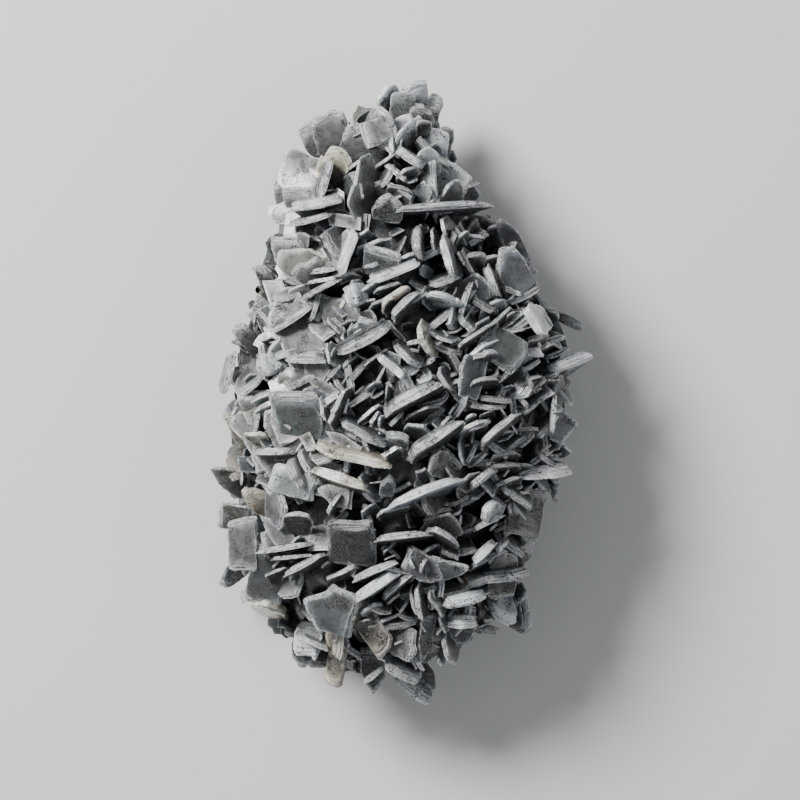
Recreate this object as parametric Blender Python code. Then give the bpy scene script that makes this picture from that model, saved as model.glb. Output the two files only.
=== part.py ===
"""A barite crystal cluster: one grown-together mass of tabular crystals that lies on its flat, cut back.

The whole specimen is one solid. A rough mound stands on the flat cut, and the crystals grow out of it: flat
tablets with bevelled rims, each placed by the line of its outer rim. Seen from above, +Y is the top end.
"""

import math
from collections import namedtuple

import bmesh
import bpy
import numpy as np
from mathutils import Matrix, Vector

MM = 0.001

# Driving dimensions of the specimen, in millimetres.
TOP_HEIGHT = 63.0  # crest of the mound of rims above the flat cut
GIRTH_HEIGHT = 19.0  # height at which the specimen is widest
CORE_DEPTH = 7.0  # how far the solid middle lies under the crystals' rims
CUT_INSET = 0.70  # size of the flat cut at the back, as a share of the widest outline
CUT_DEEPER = 30.0  # thickness of the block that trims the back flat
SMALLEST_LENGTH = 7.6  # shorter rims are fine surface and are left out here
SMALLEST_THICKNESS = 1.5  # thinner crystals are fine surface and are left out here

# Distance from the middle to the widest outline, every 22.5 degrees from +X towards +Y, in millimetres.
OUTLINE = (46.0, 46.5, 48.0, 55.0, 77.5, 71.0, 53.0, 47.0, 47.0, 51.5, 63.0, 74.0, 76.0, 66.0, 50.5, 48.0)

# The core's mesh and roughness.
CORE_SIDES = 20
CORE_RINGS = 6
CORE_GIRTH = 13.0  # height at which the core is widest, in millimetres
CREST_ANGLE = math.radians(82.8)  # how far up its dome the core's last ring lies
FOOT_BELOW = 4.0  # millimetres by which the core's foot lies under the cut before the back is trimmed
FLANK_DEPTH = 8.5  # how far the core stands in from the widest outline
CORE_ROUGHNESS = 1.1  # millimetres

# How the crystals that are given one by one stand on the mound.
FLAT_LEAN = math.radians(40.0)  # a crystal leaning more than this may lie flat on the flank
FLAT_SHARE = 0.5  # it does where the mound falls by this share of the crystal's own drop
TILT_SHARE = 0.35  # and it then rises at no more than this share of the flank's slope
FAR_SHARE = 0.75  # its free rim lies at this share of its breadth
ROOT = 3.5  # millimetres by which such a crystal reaches further into the mass
FLAT_SINK = 1.5  # millimetres by which any crystal that leans so far lies lower
ROOM_STEP = 0.5  # millimetres, in which the room beside such a crystal is felt out
ROOM_STEPS = 40
RIM_MARGIN = 0.8  # its rim stays this far inside the widest outline
PULL_IN = 0.7  # how strongly a crystal at the widest outline points towards the middle
EDGE_REACH = 0.3  # how much further it reaches there, as a share of its breadth
EDGE_OUT = 0.25  # how far it is moved out there, as a share of its breadth and its pull
MOST_SLANT = 0.7  # sideways run of a slanting crystal, as a share of its depth
MOST_CLIMB = 0.35  # rise of a rim from end to end, as a share of its length seen from above
RIM_PULL = 0.96  # share of a rim's distance from the middle at which the mound's height is read

# Crystals seeded round the flank, where the mass curves under towards the cut.
FLANK_ROWS = ((24.0, 0.985, 16), (15.0, 0.94, 16), (6.5, 0.87, 14))  # height, share of the outline, number
FLANK_LENGTH = (15.0, 23.0)
FLANK_BREADTH = (11.0, 13.0)
FLANK_THICKNESS = (1.8, 3.2)
FLANK_TWIST = 38.0  # degrees by which a flank crystal turns about the way it points
UPRIGHT_SHARE = 0.35  # share of the flank crystals that stand upright
FLANK_STRAY = 2.5  # millimetres by which a flank crystal lies over or under its row
END_START = 48.0  # beyond this distance along Y the specimen narrows, and its flank crystals are shorter
END_LENGTH = 0.6  # by this share
SEED = 41

# A crystal is given by its outer rim seen from above, from (x1, y1) to (x2, y2), its thickness, its lean,
# its breadth down from the rim, and how much it stands over the mound. Lean is 0 where the crystal is seen
# edge-on and 90 where its face looks straight up. A positive face looks to the left of the rim's direction,
# a negative one to the right. Lengths are in millimetres and angles in degrees.
Crystal = namedtuple("Crystal", "x1 y1 x2 y2 thick lean breadth lift")

KNOB = (
    Crystal(-7.5, 72, -0.5, 78, 2.5, -15, 15, 2),
    Crystal(-7, 71, -1, 66, 1.5, -14, 14, 2),
    Crystal(-0.5, 77, 3, 72, 1.2, 10, 9, 0),
    Crystal(-3.5, 62, 3.5, 69, 2, -15, 12, 1),
    Crystal(-6, 69.5, -3.5, 61.5, 1.5, 60, 7, -1),
    Crystal(-3.5, 61, 6, 54.5, 2.5, 20, 13, 1),
    Crystal(0, 77, 8, 77.5, 2.2, -50, 15, 6),
    Crystal(7, 77.5, 12, 73, 2.5, -30, 11, 1),
    Crystal(1.5, 73.5, 10, 72, 2.5, -55, 8, 1),
    Crystal(3, 67, 8, 68, 1.2, -20, 7, 0),
    Crystal(9, 66.5, 14, 66, 1.5, -30, 9, 0),
    Crystal(2.5, 62, 11.5, 61.5, 2, -50, 9, 1),
    Crystal(9, 59.5, 10.5, 46, 1.5, -58, 10, 0),
    Crystal(11.5, 60, 13, 46, 1.8, 58, 11, 2),
    Crystal(-5.5, 44.5, 25.5, 47, 2.4, 8, 18, 2),
    Crystal(-8.5, 49.5, 2.5, 49, 2.5, -50, 10, 1),
    Crystal(14, 52, 19, 47, 1.5, 45, 9, -1),
    Crystal(1, 70, 9, 68, 3, -48, 11, 0),
    Crystal(4, 75.5, 12, 72, 2.5, -55, 10, 0),
    Crystal(-3, 69, 4, 64, 2, 42, 11, 0),
    Crystal(6, 66, 14, 63, 2.5, -48, 11, 0),
    Crystal(-4, 74, 4, 74.5, 2, -40, 11, 0),
    Crystal(-5.5, 57, 2, 51, 1.6, 18, 14, -2),
    Crystal(-11.5, 57, -8, 47.5, 1.8, -24, 14, -1),
    Crystal(-4, 52.5, 5, 50.5, 1.5, -20, 12, -2),
    Crystal(0, 58, -4, 50, 1.5, -22, 12, -3),
)

SHOULDER = (
    Crystal(-24, 69, -12, 71.5, 2.8, -66, 13, 1),
    Crystal(-17.5, 68, -7, 69.5, 3, -58, 14, 0),
    Crystal(-27, 66, -20, 70, 3, -60, 12, 1),
    Crystal(-23, 61.5, -11.5, 62, 1.8, -62, 13, 1),
    Crystal(-20, 61, -25, 47.5, 2, -66, 13, 1),
    Crystal(-16, 60, -19.5, 46, 2.6, -15, 15, 2),
    Crystal(-10, 61, -15, 43, 1.8, 32, 15, 1),
    Crystal(-29, 44, -12, 47, 2.4, 24, 13, 2),
    Crystal(-28.5, 40.5, -15, 44, 1.6, 20, 12, 0),
    Crystal(-27.5, 49.5, -29, 41, 2.2, -66, 11, 0),
    Crystal(-30, 51, -20, 50.5, 1.6, -50, 10, 0),
    Crystal(-33, 53.5, -27, 54, 1.4, -55, 9, -2),
    Crystal(-14, 40.5, -10, 39, 0.8, 10, 7, -3),
    Crystal(-31.5, 58, -27, 62, 2.2, -50, 10, -1),
)

LEFT_UPPER = (
    Crystal(-33, 40, -22.5, 40, 1.8, -62, 11, 0),
    Crystal(-20, 37, -26, 26, 2.2, -68, 13, 1),
    Crystal(-28, 30, -19, 36, 1.6, -50, 11, 1),
    Crystal(-23, 29.5, -14, 31, 1.6, 8, 14, 1),
    Crystal(-24, 27.6, -14, 29.4, 1.3, -12, 13, 0),
    Crystal(-25, 22.5, -13.5, 28.5, 1.5, 10, 14, 1),
    Crystal(-32.5, 14, -19.5, 22.5, 1.8, 12, 14, 1),
    Crystal(-9.5, 42, -14, 28, 2.2, -20, 15, 2),
    Crystal(-15, 27.5, -12.5, 20, 3, 38, 11, 0),
    Crystal(-21, 41, -14, 31, 2, 32, 14, 1),
    Crystal(-39.5, 21, -32.5, 25.5, 1.8, -60, 15, 0),
    Crystal(-33.5, 21.5, -24, 22, 1.4, -58, 11, 0),
    Crystal(-42.5, 16.5, -37, 18.5, 1.8, -55, 11, -2),
    Crystal(-40.5, 11, -44.5, 2.5, 1.8, 62, 11, -2),
    Crystal(-36, 10, -32, 3.5, 3.4, 35, 12, 1),
    Crystal(-30, 9, -16.5, 8.5, 3, 8, 14, 1),
    Crystal(-17, 9, -0.5, 18, 3.4, 10, 18, 2),
    Crystal(-20, 18, -14, 14, 1, 30, 8, -3),
    Crystal(-17, 20, -12, 15, 0.9, -25, 8, -3),
    Crystal(-38, 30, -33, 33, 2, -50, 10, -1),
)

CENTRE_UPPER = (
    Crystal(-9.5, 38.5, 3, 34.5, 2.2, -52, 11, 1),
    Crystal(3, 43.5, 4, 31.5, 2.6, 10, 16, 1),
    Crystal(6.8, 42, 8.2, 33.5, 0.9, 15, 10, -3),
    Crystal(14.5, 41, 11, 33, 0.9, -20, 9, -2.5),
    Crystal(8.5, 40.5, 12.5, 26.5, 2.2, 18, 13, 1),
    Crystal(-9, 26.5, 6.5, 32.5, 2.1, 12, 15, 1),
    Crystal(-7.5, 25.6, 1, 28.6, 1.1, -10, 12, 0),
    Crystal(-7, 21, 2, 28.5, 2, -20, 13, 0),
    Crystal(-4, 18, 4.5, 27.5, 2.5, -15, 14, 1),
    Crystal(-15, 19, -4, 20, 1.6, -55, 9, -1),
    Crystal(4.5, 26, 17.5, 23, 2.2, -12, 15, 1),
    Crystal(6, 26, 15.5, 29, 2, 14, 13, 0),
    Crystal(15.5, 30, 20, 21, 1.6, 55, 10, -1),
    Crystal(19, 33, 23, 22.5, 2.5, 18, 14, 1),
    Crystal(15, 35, 22, 35, 2, -20, 11, 0),
    Crystal(12.5, 37.5, 17, 41, 0.9, -10, 9, -2),
    Crystal(14, 39, 22, 38, 0.9, 15, 9, -2),
    Crystal(13, 36, 15.5, 31, 0.8, 15, 8, -2),
    Crystal(3, 19, 7, 7.5, 2.2, 15, 15, 1),
    Crystal(-4, 13, 5.5, 5, 1.6, 20, 13, 0),
    Crystal(-7, 10.5, 2, 3, 1.9, 10, 14, 1),
    Crystal(11.5, 11, 24, 19, 1.2, -12, 13, 0),
    Crystal(11.5, -1, 15.5, 12.5, 1.6, -52, 10, 0),
    Crystal(15.5, 10, 24.5, 12, 2, -22, 13, 1),
    Crystal(15.5, 3, 25, 5, 1.3, -15, 12, 0),
    Crystal(-7, -4, 11, 5, 4, -10, 20, 3),
    Crystal(20, 42, 27, 44, 2, -45, 11, -1),
)

RIGHT_UPPER = (
    Crystal(23, 28, 32.5, 33, 2.2, 55, 15, 2),
    Crystal(29, 26, 35, 31, 2.2, 50, 11, 0),
    Crystal(24, 26, 30, 24, 1.6, 20, 10, 0),
    Crystal(28, 22, 33.5, 12, 2.8, 32, 14, 2),
    Crystal(30, 24.5, 38, 16, 1.6, -8, 13, 0),
    Crystal(34.5, 22.5, 40, 18.5, 2.6, -8, 14, 0),
    Crystal(39, 18.5, 45, 15, 2.6, 30, 11, -1),
    Crystal(33, 6, 49.5, 12.5, 3.8, -14, 16, 4),
    Crystal(35, 7, 30.5, -3, 1.9, -56, 11, 1),
    Crystal(23, 6, 28, 17, 2.1, -48, 11, 1),
    Crystal(24, 38, 30, 41, 2, 50, 12, -1),
)

RIGHT_LOWER = (
    Crystal(17, -13, 29.5, -2, 1.9, -15, 15, 1),
    Crystal(35, -4, 32, -15, 1.8, -56, 13, 0),
    Crystal(37, 2.5, 36, -11.5, 1.4, 15, 13, 1),
    Crystal(37.5, 1, 37.5, -14.5, 2, 52, 14, 1),
    Crystal(25.5, -19, 45.5, -17, 3.5, -6, 20, 4),
    Crystal(32.5, -14, 38, -17.5, 1.1, 15, 9, 0),
    Crystal(20.5, -14, 30, -12, 1.6, -25, 13, -2),
    Crystal(24, -24, 32.5, -23, 1.1, -15, 10, -2),
    Crystal(30, -26, 37.5, -25, 1.1, -15, 10, -2),
    Crystal(22, -21, 33, -29, 1.3, 20, 12, 0),
    Crystal(37, -21, 37.5, -27.5, 1.2, 20, 10, 0),
    Crystal(26, -25.5, 26.5, -30, 0.9, 20, 8, -2),
    Crystal(25, -28, 37, -29, 3, -60, 13, -1),
)

LEFT_LOWER = (
    Crystal(-43, -2, -35, 3, 2, -62, 14, 0),
    Crystal(-33, 2, -17.5, 2.5, 2.2, -64, 17, 1),
    Crystal(-45, -5, -39, -4, 2.2, -60, 11, -1),
    Crystal(-39, -8, -31, -9, 1.6, -25, 11, 0),
    Crystal(-49.3, -19, -40, -15, 2, -52, 13, 0),
    Crystal(-37.5, -13, -24, -13, 2.1, -12, 14, 1),
    Crystal(-24, -12.5, -0.5, -18, 2.6, 10, 18, 3),
    Crystal(-24, -16, -5, -22.5, 3, -10, 18, 2),
    Crystal(-29, -14, -24, -24, 2, 22, 13, 1),
    Crystal(-25, -17, -27, -26, 2, -56, 11, 0),
    Crystal(-43, -24, -36, -19, 2.2, -66, 17, 1),
    Crystal(-30, -27.5, -20, -28, 2, -34, 13, -1),
    Crystal(-19, -30, -15, -22.5, 1.4, -15, 12, 0),
    Crystal(-13, 4, -19.5, -9, 1.7, 20, 14, 1),
    Crystal(-17, -6, -3, -14, 1.7, 20, 14, 0),
    Crystal(-39.5, -26, -40, -35, 2, -60, 10, -1),
)

CENTRE_LOWER = (
    Crystal(-8.5, -8, -5.5, -3, 1, -20, 8, -2),
    Crystal(-6, -8, -4.5, -4, 0.8, -15, 7, -2),
    Crystal(-1, -15, 15.5, -4, 4, -12, 20, 3),
    Crystal(-4, -8, 4, -10, 1.6, -45, 9, -2),
    Crystal(-5, -19, 0, -20, 1.6, -45, 9, -1),
    Crystal(5, -19, 9.5, -11.5, 1.6, -38, 12, -1),
    Crystal(13.5, -9, 15, -18, 1, 15, 10, -2),
    Crystal(-6, -27, 17, -18, 2.6, -12, 18, 3),
    Crystal(-7.5, -28.5, 3, -25.5, 1.6, -15, 12, 0),
    Crystal(3.5, -23.5, 6.5, -31, 2, 30, 12, 0),
    Crystal(6.5, -25.5, 18, -30.5, 1.4, -42, 14, 0),
    Crystal(18, -31, 21.5, -24, 3, -28, 12, 1),
    Crystal(16, -33, 26, -28, 1.6, -12, 12, 0),
    Crystal(15, -23, 24, -16, 2.2, -12, 14, 1),
    Crystal(-9.5, -34.5, 9, -32.5, 2.1, -12, 15, 1),
    Crystal(-19, -29.5, -4.5, -30, 2.4, -50, 16, 1.5),
    Crystal(6, -30.5, 15.5, -36, 2, -18, 13, 0),
)

BOTTOM_LEFT = (
    Crystal(-44, -36, -34, -35, 2.2, -66, 14, 0),
    Crystal(-47, -44, -43.5, -50, 1.6, 50, 10, -2),
    Crystal(-37.5, -38, -19.5, -35, 1.6, -12, 14, 1),
    Crystal(-34, -39.5, -20, -38, 1.1, -16, 12, 0),
    Crystal(-30.5, -44, -17.5, -37, 2, -14, 14, 1),
    Crystal(-28, -46, -26, -42, 1, -15, 7, -1),
    Crystal(-20, -42, -17.5, -40, 0.8, -15, 6, -2),
    Crystal(-35, -44.5, -27.5, -41, 0.9, -25, 9, -1),
    Crystal(-39, -44, -27, -45, 2, -52, 15, -1),
    Crystal(-41, -48, -39, -52, 1.6, 40, 8, 0),
    Crystal(-38, -48, -27, -50, 3, -32, 17, 0),
    Crystal(-14.5, -46, -19, -60, 2.2, -64, 13, 1),
    Crystal(-17.5, -47.5, -9.5, -56, 3, -20, 14, 1),
    Crystal(-25, -58, -16, -62, 1.4, -20, 11, 0),
    Crystal(-28.5, -62.5, -19, -64.5, 3.4, 24, 13, 1),
    Crystal(-29, -65, -19.5, -67, 2, -55, 11, -1),
    Crystal(-17, -61, -15, -57.5, 1, -20, 7, -1),
    Crystal(-13.5, -56, -14.5, -66, 2, -25, 12, 1),
    Crystal(-19, -66.5, -13, -67, 2.5, -55, 11, 0),
)

BOTTOM_CENTRE = (
    Crystal(-14, -45, 0.5, -39, 2.1, -12, 14, 1),
    Crystal(-14, -50.5, 0.5, -41, 3, -12, 16, 2),
    Crystal(-6.5, -50, 3, -42, 2, -14, 14, 1),
    Crystal(1.5, -39.5, 3.5, -43, 1, 15, 7, -1),
    Crystal(1, -46, 3.5, -55, 1.2, 18, 11, 0),
    Crystal(3, -45, 5, -57, 1.5, 15, 13, 1),
    Crystal(5, -47, 10, -55.5, 1.4, 20, 12, 0),
    Crystal(8, -54, 11, -59.5, 1.2, 20, 9, 0),
    Crystal(8.5, -57.5, 12.5, -67.5, 2.2, 22, 13, 0),
    Crystal(8.5, -64, 10, -68, 1, 20, 7, 0),
    Crystal(5, -47, 9.5, -39, 1.6, -42, 10, 0),
    Crystal(4, -44, 6, -39, 1, -15, 8, 0),
    Crystal(11, -39, 12, -46, 1.6, 52, 10, 0),
    Crystal(5.5, -57, 3, -68, 1.6, -60, 11, 1),
    Crystal(4, -59, 8.5, -60, 1.6, -55, 11, 0),
    Crystal(-5.5, -65, 6, -72, 2.2, 14, 13, 1),
    Crystal(-11, -71, -4.5, -66, 1.6, -20, 11, 0),
    Crystal(-9.5, -61, -3, -56, 2.1, -42, 14, -1),
    Crystal(-11, -69, -2.5, -69, 2, -55, 11, 0),
    Crystal(-2.5, -69, 9.5, -77, 4, 12, 12, 0),
    Crystal(-10, -51, -1.5, -54, 1.2, 20, 10, -3),
    Crystal(-1, -54, 3.5, -56, 1, 20, 8, -3),
    Crystal(8, -50.5, 22.5, -47.5, 3.4, -12, 16, 2),
    Crystal(10, -54.5, 20.5, -54.5, 3.4, -16, 14, 1),
    Crystal(10, -57, 19.5, -58, 2, -55, 11, -2),
)

BOTTOM_RIGHT = (
    Crystal(16, -41, 23, -34, 2.6, -16, 14, 1),
    Crystal(22, -38.5, 26, -34, 2, -16, 12, 0),
    Crystal(25, -34, 35, -36, 2.2, -56, 12, 0),
    Crystal(16.5, -44.5, 33.5, -42, 3, -12, 16, 2),
    Crystal(21, -45.5, 30, -46, 2, -45, 11, -1),
    Crystal(32, -45.5, 30.5, -60.5, 2.6, -28, 20, 2),
    Crystal(27.5, -51, 31, -47.5, 1.1, -20, 9, 0),
    Crystal(20, -52, 29.5, -58, 2.2, 20, 13, 1),
    Crystal(19.5, -55, 26, -57, 2, -30, 13, -1),
)

CRYSTALS = (
    KNOB + SHOULDER + LEFT_UPPER + CENTRE_UPPER + RIGHT_UPPER + RIGHT_LOWER
    + LEFT_LOWER + CENTRE_LOWER + BOTTOM_LEFT + BOTTOM_CENTRE + BOTTOM_RIGHT
)

# A crystal's outline in its own plane: along the rim as a share of half its length, and down from the rim as
# a share of its breadth. The inner end is buried in the mass. Crystals seen edge-on are lenses or rhombs,
# and those that lean far are broad laths or come to a corner in the middle of the rim.
LENS = ((-1.0, 0.30), (-0.66, 0.03), (0.08, -0.03), (0.64, 0.03), (1.0, 0.34), (0.55, 1.0), (-0.52, 1.0))
RHOMB = ((-1.0, 0.42), (-0.48, 0.0), (0.3, -0.02), (0.86, 0.05), (1.0, 0.36), (0.46, 1.0), (-0.58, 1.0))
LATH = ((-1.0, 0.32), (-0.92, 0.02), (0.1, -0.03), (0.60, 0.0), (1.0, 0.44), (0.82, 1.0), (-0.78, 1.0))
WEDGE = ((-1.0, 0.44), (-0.55, 0.20), (-0.05, -0.05), (0.48, 0.10), (1.0, 0.36), (0.74, 1.0), (-0.78, 1.0))
EDGE_ON_OUTLINES = (LENS, RHOMB)
LEANING_OUTLINES = (LATH, WEDGE)
TABLET_WOBBLE = 0.07  # how far a corner strays, as a share of the same sizes
RIM_BEVEL = 0.75  # how far one face stands in from the other, as a share of the thickness
END_BEVEL = 2.4  # and how much further at the rim's ends
MOST_END_BEVEL = 0.35  # at most this share of half the rim's length
BRIGHT_SIDE = Vector((-0.6, 0.6, 0.5))  # the smaller, bevelled face is the one that looks this way


def outline_radius(angle):
    """Distance from the middle to the widest outline at this angle, smooth between the given ones."""
    place = (angle / (2.0 * math.pi)) % 1.0 * len(OUTLINE)
    first = int(place)
    share = place - first
    before, here, after, beyond = (OUTLINE[(first + step) % len(OUTLINE)] for step in (-1, 0, 1, 2))
    bend = 2 * before - 5 * here + 4 * after - beyond
    twist = 3 * (here - after) + beyond - before
    return here + 0.5 * share * (after - before + share * (bend + share * twist))


def room_outside(middle, side):
    """How far a rim may still move to this side before it passes the widest outline."""
    for step in range(ROOM_STEPS):
        place = middle + step * ROOM_STEP * side
        if place.length > outline_radius(math.atan2(place.y, place.x)) - RIM_MARGIN:
            return (step - 1) * ROOM_STEP
    return ROOM_STEPS * ROOM_STEP


def mound_height(x, y):
    """Height of the crystals' rims over the cut: a dome from the widest outline up to the crest."""
    share = min(math.hypot(x, y) / outline_radius(math.atan2(y, x)), 1.0)
    return GIRTH_HEIGHT + (TOP_HEIGHT - GIRTH_HEIGHT) * (1.0 - share**2.3) ** 0.62


def add_object(name, points, faces):
    """A mesh object from points in millimetres, its faces turned outwards."""
    mesh = bpy.data.meshes.new(name)
    mesh.from_pydata([tuple(MM * value for value in point) for point in points], [], faces)
    sides = bmesh.new()
    sides.from_mesh(mesh)
    bmesh.ops.recalc_face_normals(sides, faces=sides.faces)
    sides.to_mesh(mesh)
    sides.free()
    made = bpy.data.objects.new(name, mesh)
    bpy.context.scene.collection.objects.link(made)
    return made


def make_core():
    """The solid middle: rings of points from the flat cut out to the girth and in to the crest."""
    rng = np.random.default_rng(SEED)
    points = []
    for ring in range(CORE_RINGS):
        for side in range(CORE_SIDES):
            angle = 2.0 * math.pi * (side + 0.5 * (ring % 2)) / CORE_SIDES
            reach = outline_radius(angle) - FLANK_DEPTH
            if ring == 0:
                share, height = CUT_INSET, -FOOT_BELOW
            else:
                share = math.cos(CREST_ANGLE * (ring - 1) / (CORE_RINGS - 2))
                height = CORE_GIRTH + (TOP_HEIGHT - CORE_DEPTH - CORE_GIRTH) * math.sqrt(1 - share**2)
            away = reach * share + rng.uniform(-CORE_ROUGHNESS, CORE_ROUGHNESS)
            height += rng.uniform(-CORE_ROUGHNESS, CORE_ROUGHNESS)
            points.append((away * math.cos(angle), away * math.sin(angle), height))
    faces = []
    for ring in range(CORE_RINGS - 1):
        for side in range(CORE_SIDES):
            after = (side + 1) % CORE_SIDES
            low, high = ring * CORE_SIDES, (ring + 1) * CORE_SIDES
            if ring % 2:
                faces += [(low + side, low + after, high + after), (low + side, high + after, high + side)]
            else:
                faces += [(low + side, low + after, high + side), (low + after, high + after, high + side)]
    faces.append(tuple(reversed(range(CORE_SIDES))))
    crest = len(points)
    points.append((0.0, 0.0, TOP_HEIGHT - CORE_DEPTH))
    top = (CORE_RINGS - 1) * CORE_SIDES
    faces += [(top + side, top + (side + 1) % CORE_SIDES, crest) for side in range(CORE_SIDES)]
    return add_object("mound", points, faces)


def make_tablet(name, start, end, inward, thick, breadth, outline, number):
    """One tabular crystal between two rim points, reaching inward, with a bevelled rim and stray corners."""
    rng = np.random.default_rng((SEED, number))
    middle = (start + end) / 2
    along = (end - start).normalized()
    half = (end - start).length / 2
    slant = inward.dot(along)
    down = inward - slant * along
    slant = max(-MOST_SLANT, min(MOST_SLANT, slant / down.length))
    down.normalize()
    across = along.cross(down)
    shape = np.array(outline) + rng.uniform(-TABLET_WOBBLE, TABLET_WOBBLE, (len(outline), 2))
    bevel = RIM_BEVEL * thick
    end_bevel = min(END_BEVEL * bevel, MOST_END_BEVEL * half)
    small_side = 1 if across.dot(BRIGHT_SIDE) > 0 else -1
    points = []
    for side in (-1, 1):
        inset, end_inset = (bevel, end_bevel) if side == small_side else (0.0, 0.0)
        for share_along, share_down in shape.tolist():
            depth = inset + share_down * (breadth - 2 * inset)
            slide = share_along * (half - end_inset) + slant * depth
            points.append(middle + slide * along + depth * down + side * thick / 2 * across)
    count = len(outline)
    faces = [tuple(range(count)), tuple(range(count, 2 * count))]
    faces += [(i, (i + 1) % count, count + (i + 1) % count, count + i) for i in range(count)]
    return add_object(name, points, faces)


def place_crystal(crystal):
    """The outer rim's two ends, the direction in which the crystal reaches into the mass, and how far.

    Near the widest outline a crystal points more towards the middle and reaches further. One that lies flat
    on the flank is turned round: its far end is the free rim, and it reaches up the slope into the mass. The
    rim follows the mound's height at its middle, and climbs only so much from end to end.
    """
    run = Vector((crystal.x2 - crystal.x1, crystal.y2 - crystal.y1))
    side = Vector((-run.y, run.x)).normalized() * (1.0 if crystal.lean > 0 else -1.0)
    lean = math.radians(abs(crystal.lean))
    far = crystal.breadth * math.sin(lean) * side
    middle = Vector((crystal.x1 + crystal.x2, crystal.y1 + crystal.y2)) / 2
    slope = mound_height(*middle) - mound_height(*(middle + far))
    if lean > FLAT_LEAN and slope > FLAT_SHARE * crystal.breadth * math.cos(lean):
        tilt = min(math.pi / 2 - lean, TILT_SHARE * math.atan2(slope, far.length))
        middle += far * min(FAR_SHARE, max(0.0, room_outside(middle, side)) / far.length)
        inward = Vector((-math.cos(tilt) * side.x, -math.cos(tilt) * side.y, math.sin(tilt)))
        breadth = crystal.breadth + ROOT
    else:
        edge = min(middle.length / outline_radius(math.atan2(middle.y, middle.x)), 1.0) ** 3
        pull = PULL_IN * edge * middle.normalized()
        inward = Vector((math.sin(lean) * side.x, math.sin(lean) * side.y, -math.cos(lean)))
        inward -= Vector((*pull, 0.0))
        breadth = crystal.breadth * (1.0 + EDGE_REACH * edge)
        middle += EDGE_OUT * breadth / inward.length * pull
        inward.normalize()
    starts = [middle - run / 2, middle + run / 2]
    heights = [mound_height(*(RIM_PULL * start)) for start in starts]
    climb = max(-MOST_CLIMB * run.length, min(MOST_CLIMB * run.length, heights[1] - heights[0]))
    height = mound_height(*(RIM_PULL * middle)) + crystal.lift - (FLAT_SINK if lean > FLAT_LEAN else 0.0)
    ends = [Vector((*starts[0], height - climb / 2)), Vector((*starts[1], height + climb / 2))]
    return ends, inward, breadth


def make_crystals():
    """The crystals given one by one, without those too small for this solid."""
    made = []
    for number, crystal in enumerate(CRYSTALS):
        length = math.hypot(crystal.x2 - crystal.x1, crystal.y2 - crystal.y1)
        if length < SMALLEST_LENGTH or crystal.thick < SMALLEST_THICKNESS:
            continue
        ends, inward, breadth = place_crystal(crystal)
        outlines = LEANING_OUTLINES if math.radians(abs(crystal.lean)) > FLAT_LEAN else EDGE_ON_OUTLINES
        outline = outlines[number % len(outlines)]
        made.append(make_tablet(f"tablet_{number}", *ends, inward, crystal.thick, breadth, outline, number))
    return made


def make_flank():
    """Rows of crystals round the flank that point outwards, where the mass curves under."""
    rng = np.random.default_rng(SEED + 1)
    made = []
    for height, share, count in FLANK_ROWS:
        for number in range(count):
            angle = 2.0 * math.pi * (number + rng.uniform(-0.3, 0.3)) / count
            reach = share * outline_radius(angle) - rng.uniform(0.5, 2.5)
            out = Vector((math.cos(angle), math.sin(angle), rng.uniform(-0.15, 0.45))).normalized()
            level = Vector((-math.sin(angle), math.cos(angle), 0.0))
            turn = rng.uniform(-FLANK_TWIST, FLANK_TWIST) + (90.0 if rng.random() < UPRIGHT_SHARE else 0.0)
            along = Matrix.Rotation(math.radians(turn), 3, out) @ level
            level_height = height + rng.uniform(-FLANK_STRAY, FLANK_STRAY)
            middle = Vector((reach * math.cos(angle), reach * math.sin(angle), level_height))
            half = rng.uniform(*FLANK_LENGTH) / 2 * (END_LENGTH if abs(middle.y) > END_START else 1.0)
            made.append(make_tablet(
                f"flank_{height:.0f}_{number}", middle - half * along, middle + half * along, -out,
                rng.uniform(*FLANK_THICKNESS), rng.uniform(*FLANK_BREADTH),
                EDGE_ON_OUTLINES[number % len(EDGE_ON_OUTLINES)], len(CRYSTALS) + len(made)
            ))
    return made


def make_trimmer():
    """The block under the specimen that cuts its back off flat at zero."""
    reach = 2.0 * max(OUTLINE)
    corners = [(x, y, z) for z in (-CUT_DEEPER, 0.0) for x, y in
               ((-reach, -reach), (reach, -reach), (reach, reach), (-reach, reach))]
    faces = [(0, 1, 2, 3), (4, 5, 6, 7), (0, 1, 5, 4), (1, 2, 6, 5), (2, 3, 7, 6), (3, 0, 4, 7)]
    return add_object("trimmer", corners, faces)


def hide_helper(helper):
    helper.hide_render = True
    helper.display_type = "WIRE"


def keep_outer_body(mesh):
    """Deletes all but the largest connected surface: sealed pockets between crystals, and loose chips."""
    shape = bmesh.new()
    shape.from_mesh(mesh)
    bmesh.ops.remove_doubles(shape, verts=shape.verts, dist=0.002 * MM)
    bmesh.ops.dissolve_degenerate(shape, dist=0.001 * MM, edges=shape.edges)
    bmesh.ops.triangulate(shape, faces=shape.faces)
    left = set(shape.verts)
    bodies = []
    while left:
        body, edge = set(), [left.pop()]
        while edge:
            vert = edge.pop()
            body.add(vert)
            for link in vert.link_edges:
                other = link.other_vert(vert)
                if other in left:
                    left.discard(other)
                    edge.append(other)
        bodies.append(body)
    bodies.sort(key=len)
    for body in bodies[:-1]:
        bmesh.ops.delete(shape, geom=list(body), context="VERTS")
    shape.to_mesh(mesh)
    shape.free()


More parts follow.
